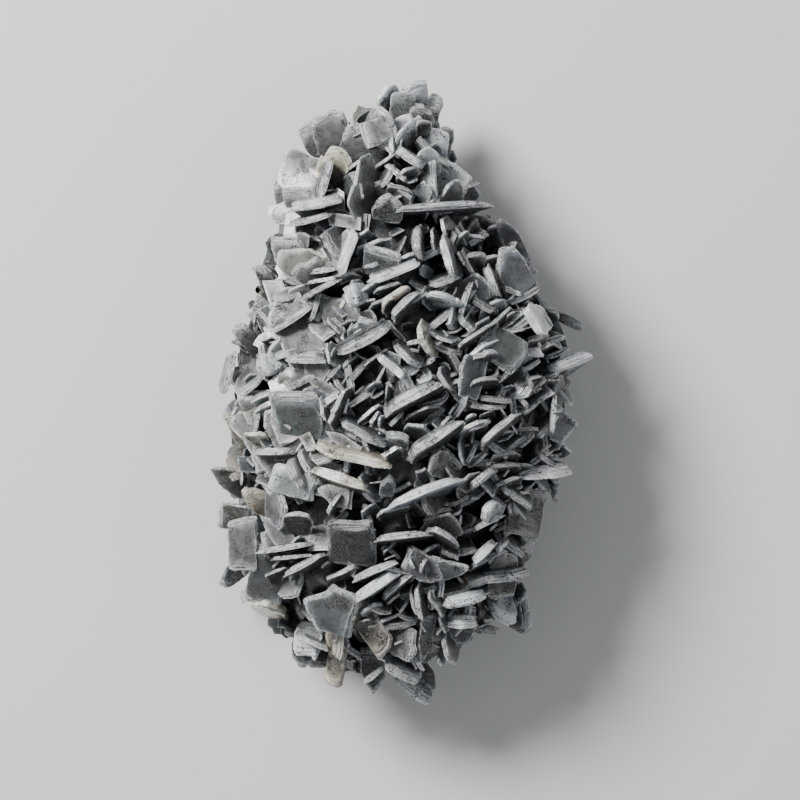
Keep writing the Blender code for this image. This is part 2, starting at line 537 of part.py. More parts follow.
def join_cluster(core, tablets, trimmer):
    """Joins the crystals with the mound, trims the back flat, and returns the finished mesh."""
    group = bpy.data.collections.new("tablets")
    bpy.context.scene.collection.children.link(group)
    for tablet in tablets:
        bpy.context.scene.collection.objects.unlink(tablet)
        group.objects.link(tablet)
        hide_helper(tablet)
    union = core.modifiers.new("grown together", "BOOLEAN")
    union.operation = "UNION"
    union.operand_type = "COLLECTION"
    union.collection = group
    union.solver = "EXACT"
    trim = core.modifiers.new("flat back", "BOOLEAN")
    trim.operation = "DIFFERENCE"
    trim.object = trimmer
    trim.solver = "EXACT"
    bpy.context.view_layer.update()
    ready = core.evaluated_get(bpy.context.evaluated_depsgraph_get())
    mesh = bpy.data.meshes.new_from_object(ready)
    keep_outer_body(mesh)
    return mesh


def centre_mesh(mesh):
    """Moves the specimen so that its box is centred on the origin and its cut lies at zero."""
    points = np.empty(3 * len(mesh.vertices), dtype=np.float32)
    mesh.vertices.foreach_get("co", points)
    low, high = points.reshape(-1, 3).min(axis=0), points.reshape(-1, 3).max(axis=0)
    middle = (low + high) / 2
    mesh.transform(Matrix.Translation((-middle[0], -middle[1], -low[2])))


def barite_material():
    """Pale blue-grey barite with a waxy shine."""
    material = bpy.data.materials.new("barite")
    material.use_nodes = True
    shader = material.node_tree.nodes["Principled BSDF"]
    shader.inputs["Base Color"].default_value = (0.50, 0.54, 0.57, 1.0)
    shader.inputs["Roughness"].default_value = 0.38
    shader.inputs["Metallic"].default_value = 0.0
    return material


def main():
    for old in list(bpy.data.objects):
        bpy.data.objects.remove(old, do_unlink=True)
    core = make_core()
    tablets = make_crystals() + make_flank()
    trimmer = make_trimmer()
    mesh = join_cluster(core, tablets, trimmer)
    for helper in [core, trimmer, *tablets]:
        bpy.data.objects.remove(helper, do_unlink=True)
    centre_mesh(mesh)
    cluster = bpy.data.objects.new("barite_cluster", mesh)
    bpy.context.scene.collection.objects.link(cluster)
    mesh.materials.clear()
    mesh.materials.append(barite_material())


main()
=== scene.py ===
"""The finished look of a barite crystal cluster, laid out as a Blender add-on and run as a script.

Every crystal is a stack of thin growth sheets. It stands on the same rim, with the same lean, thickness
and outline, as in the solid model, so the detailed crystals fill the space of the solid ones. Lengths are
in millimetres until they go into a mesh, which is in metres.
"""

import math
from collections import namedtuple

import bpy
import numpy as np
from bpy.props import FloatProperty, FloatVectorProperty, IntProperty, PointerProperty
from bpy.types import Operator, Panel, PropertyGroup
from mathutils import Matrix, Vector


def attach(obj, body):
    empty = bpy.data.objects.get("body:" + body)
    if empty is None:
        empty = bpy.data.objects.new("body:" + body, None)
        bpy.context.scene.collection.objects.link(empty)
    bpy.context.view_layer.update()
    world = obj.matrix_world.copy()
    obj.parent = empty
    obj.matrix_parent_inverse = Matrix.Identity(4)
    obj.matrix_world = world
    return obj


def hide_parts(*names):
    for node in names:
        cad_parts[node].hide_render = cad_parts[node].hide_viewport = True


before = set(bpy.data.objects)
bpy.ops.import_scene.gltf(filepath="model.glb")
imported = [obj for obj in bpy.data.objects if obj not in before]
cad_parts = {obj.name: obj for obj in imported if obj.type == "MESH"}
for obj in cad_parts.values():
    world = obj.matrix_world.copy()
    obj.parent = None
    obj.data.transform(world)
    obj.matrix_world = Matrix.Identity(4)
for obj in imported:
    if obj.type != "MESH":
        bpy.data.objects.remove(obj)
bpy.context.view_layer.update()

bl_info = {
    "name": "Barite crystal cluster",
    "version": (1, 0, 0),
    "blender": (4, 5, 0),
    "location": "3D View > Sidebar > Barite",
    "description": "Builds the finish of a barite crystal cluster around its solid model",
    "category": "Add Mesh",
}

NODE = "barite_cluster"
BODY = "root"
MM = 0.001
SEED = 41

# The specimen's own sizes, as in the solid model.
TOP_HEIGHT = 63.0  # crest of the mound of rims above the flat cut
GIRTH_HEIGHT = 19.0  # height at which the specimen is widest
DOME_FALL, DOME_ROUND = 2.3, 0.62  # powers that shape the mound of rims between its crest and its girth
CORE_DEPTH = 7.0  # how far the solid middle lies under the crystals' rims
CUT_INSET = 0.70  # size of the flat cut at the back, as a share of the widest outline
SHIFT_X, SHIFT_Y = -0.97, -0.89  # from the crystals' own middle to the middle of the specimen's box
# Distance from the middle to the widest outline, at even steps of angle.
OUTLINE = (46.0, 46.5, 48.0, 55.0, 77.5, 71.0, 53.0, 47.0, 47.0, 51.5, 63.0, 74.0, 76.0, 66.0, 50.5, 48.0)

# How a crystal is set in the mass, as in the solid model.
FLAT_LEAN = math.radians(40.0)  # a crystal leaning more than this may lie flat on the flank
FLAT_SHARE = 0.5  # it does where the mound falls by this share of the crystal's own drop
TILT_SHARE = 0.35  # and it then rises at no more than this share of the flank's slope
FAR_SHARE = 0.75  # its free rim lies at this share of its breadth
ROOT = 3.5  # by which such a crystal reaches further into the mass
FLAT_SINK = 1.5  # by which any crystal that leans so far lies lower
ROOM_STEP, ROOM_STEPS = 0.5, 40  # in which the room beside such a crystal is felt out
RIM_MARGIN = 0.8  # its rim stays this far inside the widest outline
PULL_IN = 0.7  # how strongly a crystal at the widest outline points towards the middle
EDGE_REACH = 0.3  # how much further it reaches there, as a share of its breadth
EDGE_OUT = 0.25  # how far it is moved out there, as a share of its breadth and its pull
MOST_SLANT = 0.7  # sideways run of a slanting crystal, as a share of its depth
MOST_CLIMB = 0.35  # rise of a rim from end to end, as a share of its length seen from above
RIM_PULL = 0.96  # share of a rim's distance from the middle at which the mound's height is read

# A crystal's outline: places as shares of half its rim's length and of its breadth, as in the solid model.
LENS = ((-1.0, 0.30), (-0.66, 0.03), (0.08, -0.03), (0.64, 0.03), (1.0, 0.34), (0.55, 1.0), (-0.52, 1.0))
RHOMB = ((-1.0, 0.42), (-0.48, 0.0), (0.3, -0.02), (0.86, 0.05), (1.0, 0.36), (0.46, 1.0), (-0.58, 1.0))
LATH = ((-1.0, 0.32), (-0.92, 0.02), (0.1, -0.03), (0.60, 0.0), (1.0, 0.44), (0.82, 1.0), (-0.78, 1.0))
WEDGE = ((-1.0, 0.44), (-0.55, 0.20), (-0.05, -0.05), (0.48, 0.10), (1.0, 0.36), (0.74, 1.0), (-0.78, 1.0))
EDGE_ON_OUTLINES = (LENS, RHOMB)
LEANING_OUTLINES = (LATH, WEDGE)
CORNERS = len(LENS)
TABLET_WOBBLE = 0.07  # how far a corner strays, as a share of the same sizes
RIM_BEVEL = 0.75  # how far one face stands in from the other, as a share of the thickness
BRIGHT_SIDE = np.array([-0.6, 0.6, 0.5])  # the smaller, bevelled face is the one that looks this way

# The rows of crystals round the flank, from the same draws as in the solid model, rooted deeper.
FLANK_ROWS = ((24.0, 0.985, 16), (15.0, 0.94, 16), (6.5, 0.87, 14))  # height, share of the outline, number
FLANK_LENGTH = (15.0, 23.0)
FLANK_BREADTH = (11.0, 13.0)
FLANK_THICKNESS = (1.8, 3.2)
FLANK_TWIST = 38.0  # degrees by which a flank crystal turns about the way it points
UPRIGHT_SHARE = 0.35  # share of the flank crystals that stand upright
FLANK_STRAY = 2.5  # by which a flank crystal lies over or under its row
FLANK_SPREAD = 0.3  # by which it strays along its row, as a share of the row's step
FLANK_INSET = (0.5, 2.5)
FLANK_RISE = (-0.15, 0.45)  # slope at which it points
FLANK_ROOT = 1.15  # breadth, as a share of that in the solid model
END_START = 48.0  # beyond this distance along Y the specimen narrows, and its flank crystals are shorter
END_LENGTH = 0.6  # by this share

# Growth sheets and broken rims.
MOST_SHEETS = 6
SHEET_STRAY = 0.35  # how far a sheet's face strays, as a share of the sheet
STAGGER = (0.1, 0.5)  # how far the outer sheets stand in, as a share of the crystal's thickness
STAGGER_POWER = 1.5
END_BEVEL = 1.2  # how much more the sheets stand in at a rim's ends
END_TAPER = (0.45, 0.85)  # share of the thickness that is gone at a rim's ends
TAPER_POWER = 2.4
PINCH_SIDE = 0.3  # where the rim's ends lie, from the middle towards the larger face
ROUNDING = 0.010  # share of the rim over which its corners are rounded, each way
SPINE = 0.55  # half-length of the middle line that a crystal's rows draw in to, as a share of half its rim
BITE_CORNERS = 11  # corners round a broken rim
BITE_POWER = 1.5
NOTCH_POINTS, FEWEST_NOTCHES = 10, 4  # rim points in a notch, and notches in a sheet's edge
NOTCH_POWER = 2.5
NOTCH_GRAIN = 0.10  # roughness of a sheet's edge, as a share of a notch's depth
DEEPEST_INSET = 0.6  # of the way in to the middle line
EDGE_LEVEL = 0.9  # thickness at the rim, as a share of that in the middle
FACE_ROWS = ((0.62, 1.0), (0.20, 0.99))  # rows on a face: their inset as a share of the way in, and height
RIM_SHARE = 0.4  # of a sheet's own inset, by which its edge counts as away from the rim
BOW_MIDDLE = 0.4  # where along the rim the bow crosses its mean, as a square of the share
FULL_BITE, FULL_BOW = 5.0, 6.0  # half-lengths from which bites and bow have their whole size
FULL_STEP, FULL_NOTCH, LEAST_NOTCH = 2.0, 3.0, 0.4  # the same for the thickness, steps and notches

# How each crystal differs from the others in colour, and where black crust and painted shade lie on it.
TINT_RANGE, HUE_RANGE = (0.82, 1.15), (0.97, 1.03)
BAND_RANGE = (0.6, 1.3)  # brightness of a growth sheet's edge
INNER_SPREAD = 400.0  # so that no two crystals share their patterns
DOWN_FACE_START, DOWN_FACE_SPAN = 0.15, 0.6  # tilt down the specimen, away from the key light, from which crust and painted shade lie on a face, and its span
UNDER_CRUST_AND_SHADE = 0.34  # more crust on a face that looks down the specimen, with painted shade there, as it looks away from the key light
CLEAN_RIM, LEAST_CRUST = 1.2, 0.25  # the crust and the painted shade with it thin out over this distance to the rim, to this share
DEEPEST = 30.0  # the most that is kept of a point's depth under the mound of rims, which the material darkens as painted shade

# The seeded crystals between the large ones.
GOLDEN_TURN = 3.0 - math.sqrt(5.0)  # of half a turn, for a sunflower's order
TURN_STRAY = 0.2
SEED_REACH = 0.87  # of the way to the outline
FLAT_REACH = 0.78  # of the way to the outline, the furthest that a seeded flat crystal starts
LEFT_EDGE = -14.0  # where the left flank with its large overlapping plates begins
LEFT_SHARE = 0.8  # share of the seeded crystals that is kept there
LEFT_FLAT, LEFT_LIT_PALE = 0.6, 0.7  # shares of them that lie flat, and that are pale, partly their own colour and partly painted light on the side towards the key light
STRIKES, STRIKE_SHARES, STRIKE_SPREAD = (28.0, -48.0, 78.0), (0.55, 0.27, 0.18), 14.0  # in degrees
FLAT_LEANS, STEEP_LEANS = (48.0, 68.0), (10.0, 34.0)  # in degrees
# Breadth is a share of the rim's length, and each crystal's own draws start from its number.
Seeding = namedtuple("Seeding", "seed lengths thicknesses sinks breadth finishes first_number points")
FILLERS = Seeding(2, (7.0, 14.0), (0.9, 1.9), (2.0, 6.0), 1.1, "BBSSBKNW", 1000, 2 * CORNERS)
SHARDS = Seeding(3, (3.5, 7.0), (0.4, 0.8), (2.5, 6.5), 1.7, "BBSSNW", 3000, CORNERS)

# The small crystals round the foot.
GOLDEN_SHARE = 0.3819660113  # of a turn, for even steps round the foot
DRUSE_STRAY = 0.01  # of a turn
DRUSE_HEIGHT = (1.5, 36.0)
DRUSE_OUT = (1.5, 3.5)  # how far their rims stand out
DRUSE_RISE = (-0.25, 0.35)
DRUSE_HALF = (3.0, 6.5)  # half the rim's length
DRUSE_THICKNESS = (0.8, 1.7)
DRUSE_BREADTH = 9.0
LEAST_STEEPNESS = 0.1  # of a rim that is cut short to stay off the floor
DRUSE_SEED, DRUSE_FIRST = 4, 5000
LIT_PALE_SIDE = -0.1  # cosine of the angle beyond which the foot and the flank are pale: the left side, towards the key light, is paler and the right side darker, partly their own colour and partly painted light and shade
# Finish letters for the pale left side and the dark right side, partly their own colour and partly painted
# light and shade.
FLANK_LIT_SHADED_FINISHES = {"pale": "PPBCWP", "dark": "BSBNSB"}
DRUSE_LIT_SHADED_FINISHES = {"pale": "PPBCP", "dark": "BSBNS"}

# The mass between the crystals.
MOUND_TOP = TOP_HEIGHT - CORE_DEPTH - 2.5
MOUND_GIRTH = GIRTH_HEIGHT - 6.0
MOUND_INSET = 0.8  # how much further in than the solid middle
MOUND_SIDES, MOUND_ROWS = 160, 64
GIRTH_WAY, CUT_WAY = 0.62, 0.82  # where the girth and the cut's edge lie on the way from the crest
WAVES = ((5, 1.1, 0.3), (9, 0.7, 1.9), (14, 1.7, 4.1), (23, 2.6, 2.2))  # waves round, waves down and phase
WAVE_HEIGHT, WAVE_RUN = 0.45, 30.0
WAVE_ENDS = (0.03, 0.97)  # shares of the way between which the roughness rises and falls
MOUND_RIM, MOUND_CRUST, MOUND_PATTERN = 5.0, 0.1, 50.0
CUT_SHADE, MASS_GAP_SHADE = 0.8, 0.3  # shares of the pale colour on the cut and of slate on the mass; the mass is this dark as painted shade of the gaps in which it shows

# Patterns of the finish, with its painted glints: features for each millimetre, detail and roughness of the
# noise.
MOTTLE = (0.42, 4.0, 0.6)
GRAIN = (2.6, 3.0, 0.6)
STREAK, STREAK_SCALE = (1.0, 4.0, 0.65), (0.10, 2.6, 3.4)  # drawn out along the rim
# painted glints: white sparkle on the rims, standing for highlights
GLINT_NOISE = (1.1, 4.0, 0.7)
CRUST_FINE, CRUST_PATCHES = (2.2, 5.0, 0.8), (0.25, 3.0, 0.5)
CRUMBS = (1.9, 5.0, 0.75)
SPOTS, SPOT_AREAS = 1.35, (0.18, 3.0, 0.55)
DASH_SCALE, DASH_AREAS = (0.5, 1.6, 1.6), (0.21, 2.0, 0.55)

# Ramps of the finish, with its painted light and shade: from a low to a high value, and the shares that they
# start and end with.
MOTTLE_SHADE = (0.25, 0.75, 0.72, 1.24)
GRAIN_SHADE = (0.2, 0.8, 0.82, 1.18)
STREAK_SHADE = (0.34, 0.66, -0.55, 0.50)
RIM_LIGHT_FACE_SHADE = (0.5, 4.0, 1.18, 0.58)  # painted light and shade: lighter near the rim, darker towards the middle of a face
STREAK_REACH = (0.2, 1.4, 1.0, 0.12)  # from the rim, and likewise the next two
# rims whiter near their edge: partly their own frost and partly painted highlight
FROST_HIGHLIGHT_REACH = (0.1, 1.1, 1.0, 0.0)
# painted glints near the rims
GLINT_REACH = (0.3, 1.6, 0.75, 0.0)
# rims whiter along the streaks: partly their own frost and partly painted highlight
FROST_HIGHLIGHT_STREAKS = (0.36, 0.60, 0.12, 1.0)
# painted glints where the noise is high
GLINT_SHARE = (0.57, 0.66)
DEEP_SHADE_SHARE = (4.0, 15.0, 0.0, 0.85)  # painted shade: darker the deeper a point lies under the mound of rims
SPOT_SIZE = (0.40, 0.66, 0.03, 0.33)
DASH_SIZE = (0.48, 0.70, 0.0, 0.28)
CRUST_AND_SHADE_SHARE = (0.37, 0.395)
CRUMB_SHARE = (0.47, 0.60)
WAX_ROUGHNESS, CRUST_ROUGHNESS = (0.3, 0.7, 0.20, 0.42), 0.85
CRUST_AND_SHADE_GAIN = 0.42
GRAIN_RELIEF, CRUMB_RELIEF = 0.25, 1.6
BUMP = {"Strength": 0.5, "Distance": 0.0003}
WAX = {
    "IOR": 1.64,
    "Coat Weight": 0.32,
    "Coat Roughness": 0.15,
    "Subsurface Weight": 0.40,
    "Subsurface Radius": (1.0, 1.1, 1.2),
    "Subsurface Scale": 0.0018,
}

# The stage, in metres and watts.
FLOOR_REACH = 3.0
FLOOR_ROUGHNESS = 0.9
CAMERA_HEIGHT = 1.4
FOCUS_HEIGHT = 0.022  # where the view is as wide as given
VIEW_WIDTH = 0.2
VIEW_X, VIEW_Y = -0.1, -1.1  # from the crystals' own middle to the middle of the view, in millimetres
VIEW_END = 20.0
SENSOR = 36.0  # millimetres
LIGHT_TARGET = (0.0, 0.0, 0.02)
LIGHTS = (  # name, place, diameter, power and colour
    ("key", (-0.62, 0.50, 0.78), 0.42, 21.0, (1.0, 0.972, 0.935)),
    ("fill", (0.8, -0.3, 0.9), 0.8, 1.6, (0.92, 0.96, 1.0)),
)
SKY_COLOUR, SKY_STRENGTH = (0.92, 0.96, 1.0, 1.0), 0.24

# A crystal's rim from end to end, thickness, lean in degrees, breadth and lift over the mound of rims.
Crystal = namedtuple("Crystal", "x1 y1 x2 y2 thick lean breadth lift")

KNOB = (
    (-7.5, 72, -0.5, 78, 2.5, -15, 15, 2),
    (-7, 71, -1, 66, 1.5, -14, 14, 2),
    (-0.5, 77, 3, 72, 1.2, 10, 9, 0),
    (-3.5, 62, 3.5, 69, 2, -15, 12, 1),
    (-6, 69.5, -3.5, 61.5, 1.5, 60, 7, -1),
    (-3.5, 61, 6, 54.5, 2.5, 20, 13, 1),
    (0, 77, 8, 77.5, 2.2, -50, 15, 6),
    (7, 77.5, 12, 73, 2.5, -30, 11, 1),
    (1.5, 73.5, 10, 72, 2.5, -55, 8, 1),
    (3, 67, 8, 68, 1.2, -20, 7, 0),
    (9, 66.5, 14, 66, 1.5, -30, 9, 0),
    (2.5, 62, 11.5, 61.5, 2, -50, 9, 1),
    (9, 59.5, 10.5, 46, 1.5, -58, 10, 0),
    (11.5, 60, 13, 46, 1.8, 58, 11, 2),
    (-5.5, 44.5, 25.5, 47, 2.4, 8, 18, 2),
    (-8.5, 49.5, 2.5, 49, 2.5, -50, 10, 1),
    (14, 52, 19, 47, 1.5, 45, 9, -1),
    (1, 70, 9, 68, 3, -48, 11, 0),
    (4, 75.5, 12, 72, 2.5, -55, 10, 0),
    (-3, 69, 4, 64, 2, 42, 11, 0),
    (6, 66, 14, 63, 2.5, -48, 11, 0),
    (-4, 74, 4, 74.5, 2, -40, 11, 0),
    (-5.5, 57, 2, 51, 1.6, 18, 14, -2),
    (-11.5, 57, -8, 47.5, 1.8, -24, 14, -1),
    (-4, 52.5, 5, 50.5, 1.5, -20, 12, -2),
    (0, 58, -4, 50, 1.5, -22, 12, -3),
)

SHOULDER = (
    (-24, 69, -12, 71.5, 2.8, -66, 13, 1),
    (-17.5, 68, -7, 69.5, 3, -58, 14, 0),
    (-27, 66, -20, 70, 3, -60, 12, 1),
    (-23, 61.5, -11.5, 62, 1.8, -62, 13, 1),
    (-20, 61, -25, 47.5, 2, -66, 13, 1),
    (-16, 60, -19.5, 46, 2.6, -15, 15, 2),
    (-10, 61, -15, 43, 1.8, 32, 15, 1),
    (-29, 44, -12, 47, 2.4, 24, 13, 2),
    (-28.5, 40.5, -15, 44, 1.6, 20, 12, 0),
    (-27.5, 49.5, -29, 41, 2.2, -66, 11, 0),
    (-30, 51, -20, 50.5, 1.6, -50, 10, 0),
    (-33, 53.5, -27, 54, 1.4, -55, 9, -2),
    (-14, 40.5, -10, 39, 0.8, 10, 7, -3),
    (-31.5, 58, -27, 62, 2.2, -50, 10, -1),
)

LEFT_UPPER = (
    (-33, 40, -22.5, 40, 1.8, -62, 11, 0),
    (-20, 37, -26, 26, 2.2, -68, 13, 1),
    (-28, 30, -19, 36, 1.6, -50, 11, 1),
    (-23, 29.5, -14, 31, 1.6, 8, 14, 1),
    (-24, 27.6, -14, 29.4, 1.3, -12, 13, 0),
    (-25, 22.5, -13.5, 28.5, 1.5, 10, 14, 1),
    (-32.5, 14, -19.5, 22.5, 1.8, 12, 14, 1),
    (-9.5, 42, -14, 28, 2.2, -20, 15, 2),
    (-15, 27.5, -12.5, 20, 3, 38, 11, 0),
    (-21, 41, -14, 31, 2, 32, 14, 1),
    (-39.5, 21, -32.5, 25.5, 1.8, -60, 15, 0),
    (-33.5, 21.5, -24, 22, 1.4, -58, 11, 0),
    (-42.5, 16.5, -37, 18.5, 1.8, -55, 11, -2),
    (-40.5, 11, -44.5, 2.5, 1.8, 62, 11, -2),
    (-36, 10, -32, 3.5, 3.4, 35, 12, 1),
    (-30, 9, -16.5, 8.5, 3, 8, 14, 1),
    (-17, 9, -0.5, 18, 3.4, 10, 18, 2),
    (-20, 18, -14, 14, 1, 30, 8, -3),
    (-17, 20, -12, 15, 0.9, -25, 8, -3),
    (-38, 30, -33, 33, 2, -50, 10, -1),
)

CENTRE_UPPER = (
    (-9.5, 38.5, 3, 34.5, 2.2, -52, 11, 1),
    (3, 43.5, 4, 31.5, 2.6, 10, 16, 1),
    (6.8, 42, 8.2, 33.5, 0.9, 15, 10, -3),
    (14.5, 41, 11, 33, 0.9, -20, 9, -2.5),
    (8.5, 40.5, 12.5, 26.5, 2.2, 18, 13, 1),
    (-9, 26.5, 6.5, 32.5, 2.1, 12, 15, 1),
    (-7.5, 25.6, 1, 28.6, 1.1, -10, 12, 0),
    (-7, 21, 2, 28.5, 2, -20, 13, 0),
    (-4, 18, 4.5, 27.5, 2.5, -15, 14, 1),
    (-15, 19, -4, 20, 1.6, -55, 9, -1),
    (4.5, 26, 17.5, 23, 2.2, -12, 15, 1),
    (6, 26, 15.5, 29, 2, 14, 13, 0),
    (15.5, 30, 20, 21, 1.6, 55, 10, -1),
    (19, 33, 23, 22.5, 2.5, 18, 14, 1),
    (15, 35, 22, 35, 2, -20, 11, 0),
    (12.5, 37.5, 17, 41, 0.9, -10, 9, -2),
    (14, 39, 22, 38, 0.9, 15, 9, -2),
    (13, 36, 15.5, 31, 0.8, 15, 8, -2),
    (3, 19, 7, 7.5, 2.2, 15, 15, 1),
    (-4, 13, 5.5, 5, 1.6, 20, 13, 0),
    (-7, 10.5, 2, 3, 1.9, 10, 14, 1),
    (11.5, 11, 24, 19, 1.2, -12, 13, 0),
    (11.5, -1, 15.5, 12.5, 1.6, -52, 10, 0),
    (15.5, 10, 24.5, 12, 2, -22, 13, 1),
    (15.5, 3, 25, 5, 1.3, -15, 12, 0),
    (-7, -4, 11, 5, 4, -10, 20, 3),
    (20, 42, 27, 44, 2, -45, 11, -1),
)

RIGHT_UPPER = (
    (23, 28, 32.5, 33, 2.2, 55, 15, 2),
    (29, 26, 35, 31, 2.2, 50, 11, 0),
    (24, 26, 30, 24, 1.6, 20, 10, 0),
    (28, 22, 33.5, 12, 2.8, 32, 14, 2),
    (30, 24.5, 38, 16, 1.6, -8, 13, 0),
    (34.5, 22.5, 40, 18.5, 2.6, -8, 14, 0),
    (39, 18.5, 45, 15, 2.6, 30, 11, -1),
    (33, 6, 49.5, 12.5, 3.8, -14, 16, 4),
    (35, 7, 30.5, -3, 1.9, -56, 11, 1),
    (23, 6, 28, 17, 2.1, -48, 11, 1),
    (24, 38, 30, 41, 2, 50, 12, -1),
)

RIGHT_LOWER = (
    (17, -13, 29.5, -2, 1.9, -15, 15, 1),
    (35, -4, 32, -15, 1.8, -56, 13, 0),
    (37, 2.5, 36, -11.5, 1.4, 15, 13, 1),
    (37.5, 1, 37.5, -14.5, 2, 52, 14, 1),
    (25.5, -19, 45.5, -17, 3.5, -6, 20, 4),
    (32.5, -14, 38, -17.5, 1.1, 15, 9, 0),
    (20.5, -14, 30, -12, 1.6, -25, 13, -2),
    (24, -24, 32.5, -23, 1.1, -15, 10, -2),
    (30, -26, 37.5, -25, 1.1, -15, 10, -2),
    (22, -21, 33, -29, 1.3, 20, 12, 0),
    (37, -21, 37.5, -27.5, 1.2, 20, 10, 0),
    (26, -25.5, 26.5, -30, 0.9, 20, 8, -2),
    (25, -28, 37, -29, 3, -60, 13, -1),
)

LEFT_LOWER = (
    (-43, -2, -35, 3, 2, -62, 14, 0),
    (-33, 2, -17.5, 2.5, 2.2, -64, 17, 1),
    (-45, -5, -39, -4, 2.2, -60, 11, -1),
    (-39, -8, -31, -9, 1.6, -25, 11, 0),
    (-49.3, -19, -40, -15, 2, -52, 13, 0),
    (-37.5, -13, -24, -13, 2.1, -12, 14, 1),
    (-24, -12.5, -0.5, -18, 2.6, 10, 18, 3),
    (-24, -16, -5, -22.5, 3, -10, 18, 2),
    (-29, -14, -24, -24, 2, 22, 13, 1),
    (-25, -17, -27, -26, 2, -56, 11, 0),
    (-43, -24, -36, -19, 2.2, -66, 17, 1),
    (-30, -27.5, -20, -28, 2, -34, 13, -1),
    (-19, -30, -15, -22.5, 1.4, -15, 12, 0),
    (-13, 4, -19.5, -9, 1.7, 20, 14, 1),
    (-17, -6, -3, -14, 1.7, 20, 14, 0),
    (-39.5, -26, -40, -35, 2, -60, 10, -1),
)

CENTRE_LOWER = (
    (-8.5, -8, -5.5, -3, 1, -20, 8, -2),
    (-6, -8, -4.5, -4, 0.8, -15, 7, -2),
    (-1, -15, 15.5, -4, 4, -12, 20, 3),
    (-4, -8, 4, -10, 1.6, -45, 9, -2),
    (-5, -19, 0, -20, 1.6, -45, 9, -1),
    (5, -19, 9.5, -11.5, 1.6, -38, 12, -1),
    (13.5, -9, 15, -18, 1, 15, 10, -2),
    (-6, -27, 17, -18, 2.6, -12, 18, 3),
    (-7.5, -28.5, 3, -25.5, 1.6, -15, 12, 0),
    (3.5, -23.5, 6.5, -31, 2, 30, 12, 0),
    (6.5, -25.5, 18, -30.5, 1.4, -42, 14, 0),
    (18, -31, 21.5, -24, 3, -28, 12, 1),
    (16, -33, 26, -28, 1.6, -12, 12, 0),
    (15, -23, 24, -16, 2.2, -12, 14, 1),
    (-9.5, -34.5, 9, -32.5, 2.1, -12, 15, 1),
    (-19, -29.5, -4.5, -30, 2.4, -50, 16, 1.5),
    (6, -30.5, 15.5, -36, 2, -18, 13, 0),
)

BOTTOM_LEFT = (
    (-44, -36, -34, -35, 2.2, -66, 14, 0),
    (-47, -44, -43.5, -50, 1.6, 50, 10, -2),
    (-37.5, -38, -19.5, -35, 1.6, -12, 14, 1),
    (-34, -39.5, -20, -38, 1.1, -16, 12, 0),
    (-30.5, -44, -17.5, -37, 2, -14, 14, 1),
    (-28, -46, -26, -42, 1, -15, 7, -1),
    (-20, -42, -17.5, -40, 0.8, -15, 6, -2),
    (-35, -44.5, -27.5, -41, 0.9, -25, 9, -1),
    (-39, -44, -27, -45, 2, -52, 15, -1),
    (-41, -48, -39, -52, 1.6, 40, 8, 0),
    (-38, -48, -27, -50, 3, -32, 17, 0),
    (-14.5, -46, -19, -60, 2.2, -64, 13, 1),
    (-17.5, -47.5, -9.5, -56, 3, -20, 14, 1),
    (-25, -58, -16, -62, 1.4, -20, 11, 0),
    (-28.5, -62.5, -19, -64.5, 3.4, 24, 13, 1),
    (-29, -65, -19.5, -67, 2, -55, 11, -1),
    (-17, -61, -15, -57.5, 1, -20, 7, -1),
    (-13.5, -56, -14.5, -66, 2, -25, 12, 1),
    (-19, -66.5, -13, -67, 2.5, -55, 11, 0),
)

BOTTOM_CENTRE = (
    (-14, -45, 0.5, -39, 2.1, -12, 14, 1),
    (-14, -50.5, 0.5, -41, 3, -12, 16, 2),
    (-6.5, -50, 3, -42, 2, -14, 14, 1),
    (1.5, -39.5, 3.5, -43, 1, 15, 7, -1),
    (1, -46, 3.5, -55, 1.2, 18, 11, 0),
    (3, -45, 5, -57, 1.5, 15, 13, 1),
    (5, -47, 10, -55.5, 1.4, 20, 12, 0),
    (8, -54, 11, -59.5, 1.2, 20, 9, 0),
    (8.5, -57.5, 12.5, -67.5, 2.2, 22, 13, 0),
    (8.5, -64, 10, -68, 1, 20, 7, 0),
    (5, -47, 9.5, -39, 1.6, -42, 10, 0),
    (4, -44, 6, -39, 1, -15, 8, 0),
    (11, -39, 12, -46, 1.6, 52, 10, 0),
    (5.5, -57, 3, -68, 1.6, -60, 11, 1),
    (4, -59, 8.5, -60, 1.6, -55, 11, 0),
    (-5.5, -65, 6, -72, 2.2, 14, 13, 1),
    (-11, -71, -4.5, -66, 1.6, -20, 11, 0),
    (-9.5, -61, -3, -56, 2.1, -42, 14, -1),
    (-11, -69, -2.5, -69, 2, -55, 11, 0),
    (-2.5, -69, 9.5, -77, 4, 12, 12, 0),
    (-10, -51, -1.5, -54, 1.2, 20, 10, -3),
    (-1, -54, 3.5, -56, 1, 20, 8, -3),
    (8, -50.5, 22.5, -47.5, 3.4, -12, 16, 2),
    (10, -54.5, 20.5, -54.5, 3.4, -16, 14, 1),
    (10, -57, 19.5, -58, 2, -55, 11, -2),
)

BOTTOM_RIGHT = (
    (16, -41, 23, -34, 2.6, -16, 14, 1),
    (22, -38.5, 26, -34, 2, -16, 12, 0),
    (25, -34, 35, -36, 2.2, -56, 12, 0),
    (16.5, -44.5, 33.5, -42, 3, -12, 16, 2),
    (21, -45.5, 30, -46, 2, -45, 11, -1),
    (32, -45.5, 30.5, -60.5, 2.6, -28, 20, 2),
    (27.5, -51, 31, -47.5, 1.1, -20, 9, 0),
    (20, -52, 29.5, -58, 2.2, 20, 13, 1),
    (19.5, -55, 26, -57, 2, -30, 13, -1),
)


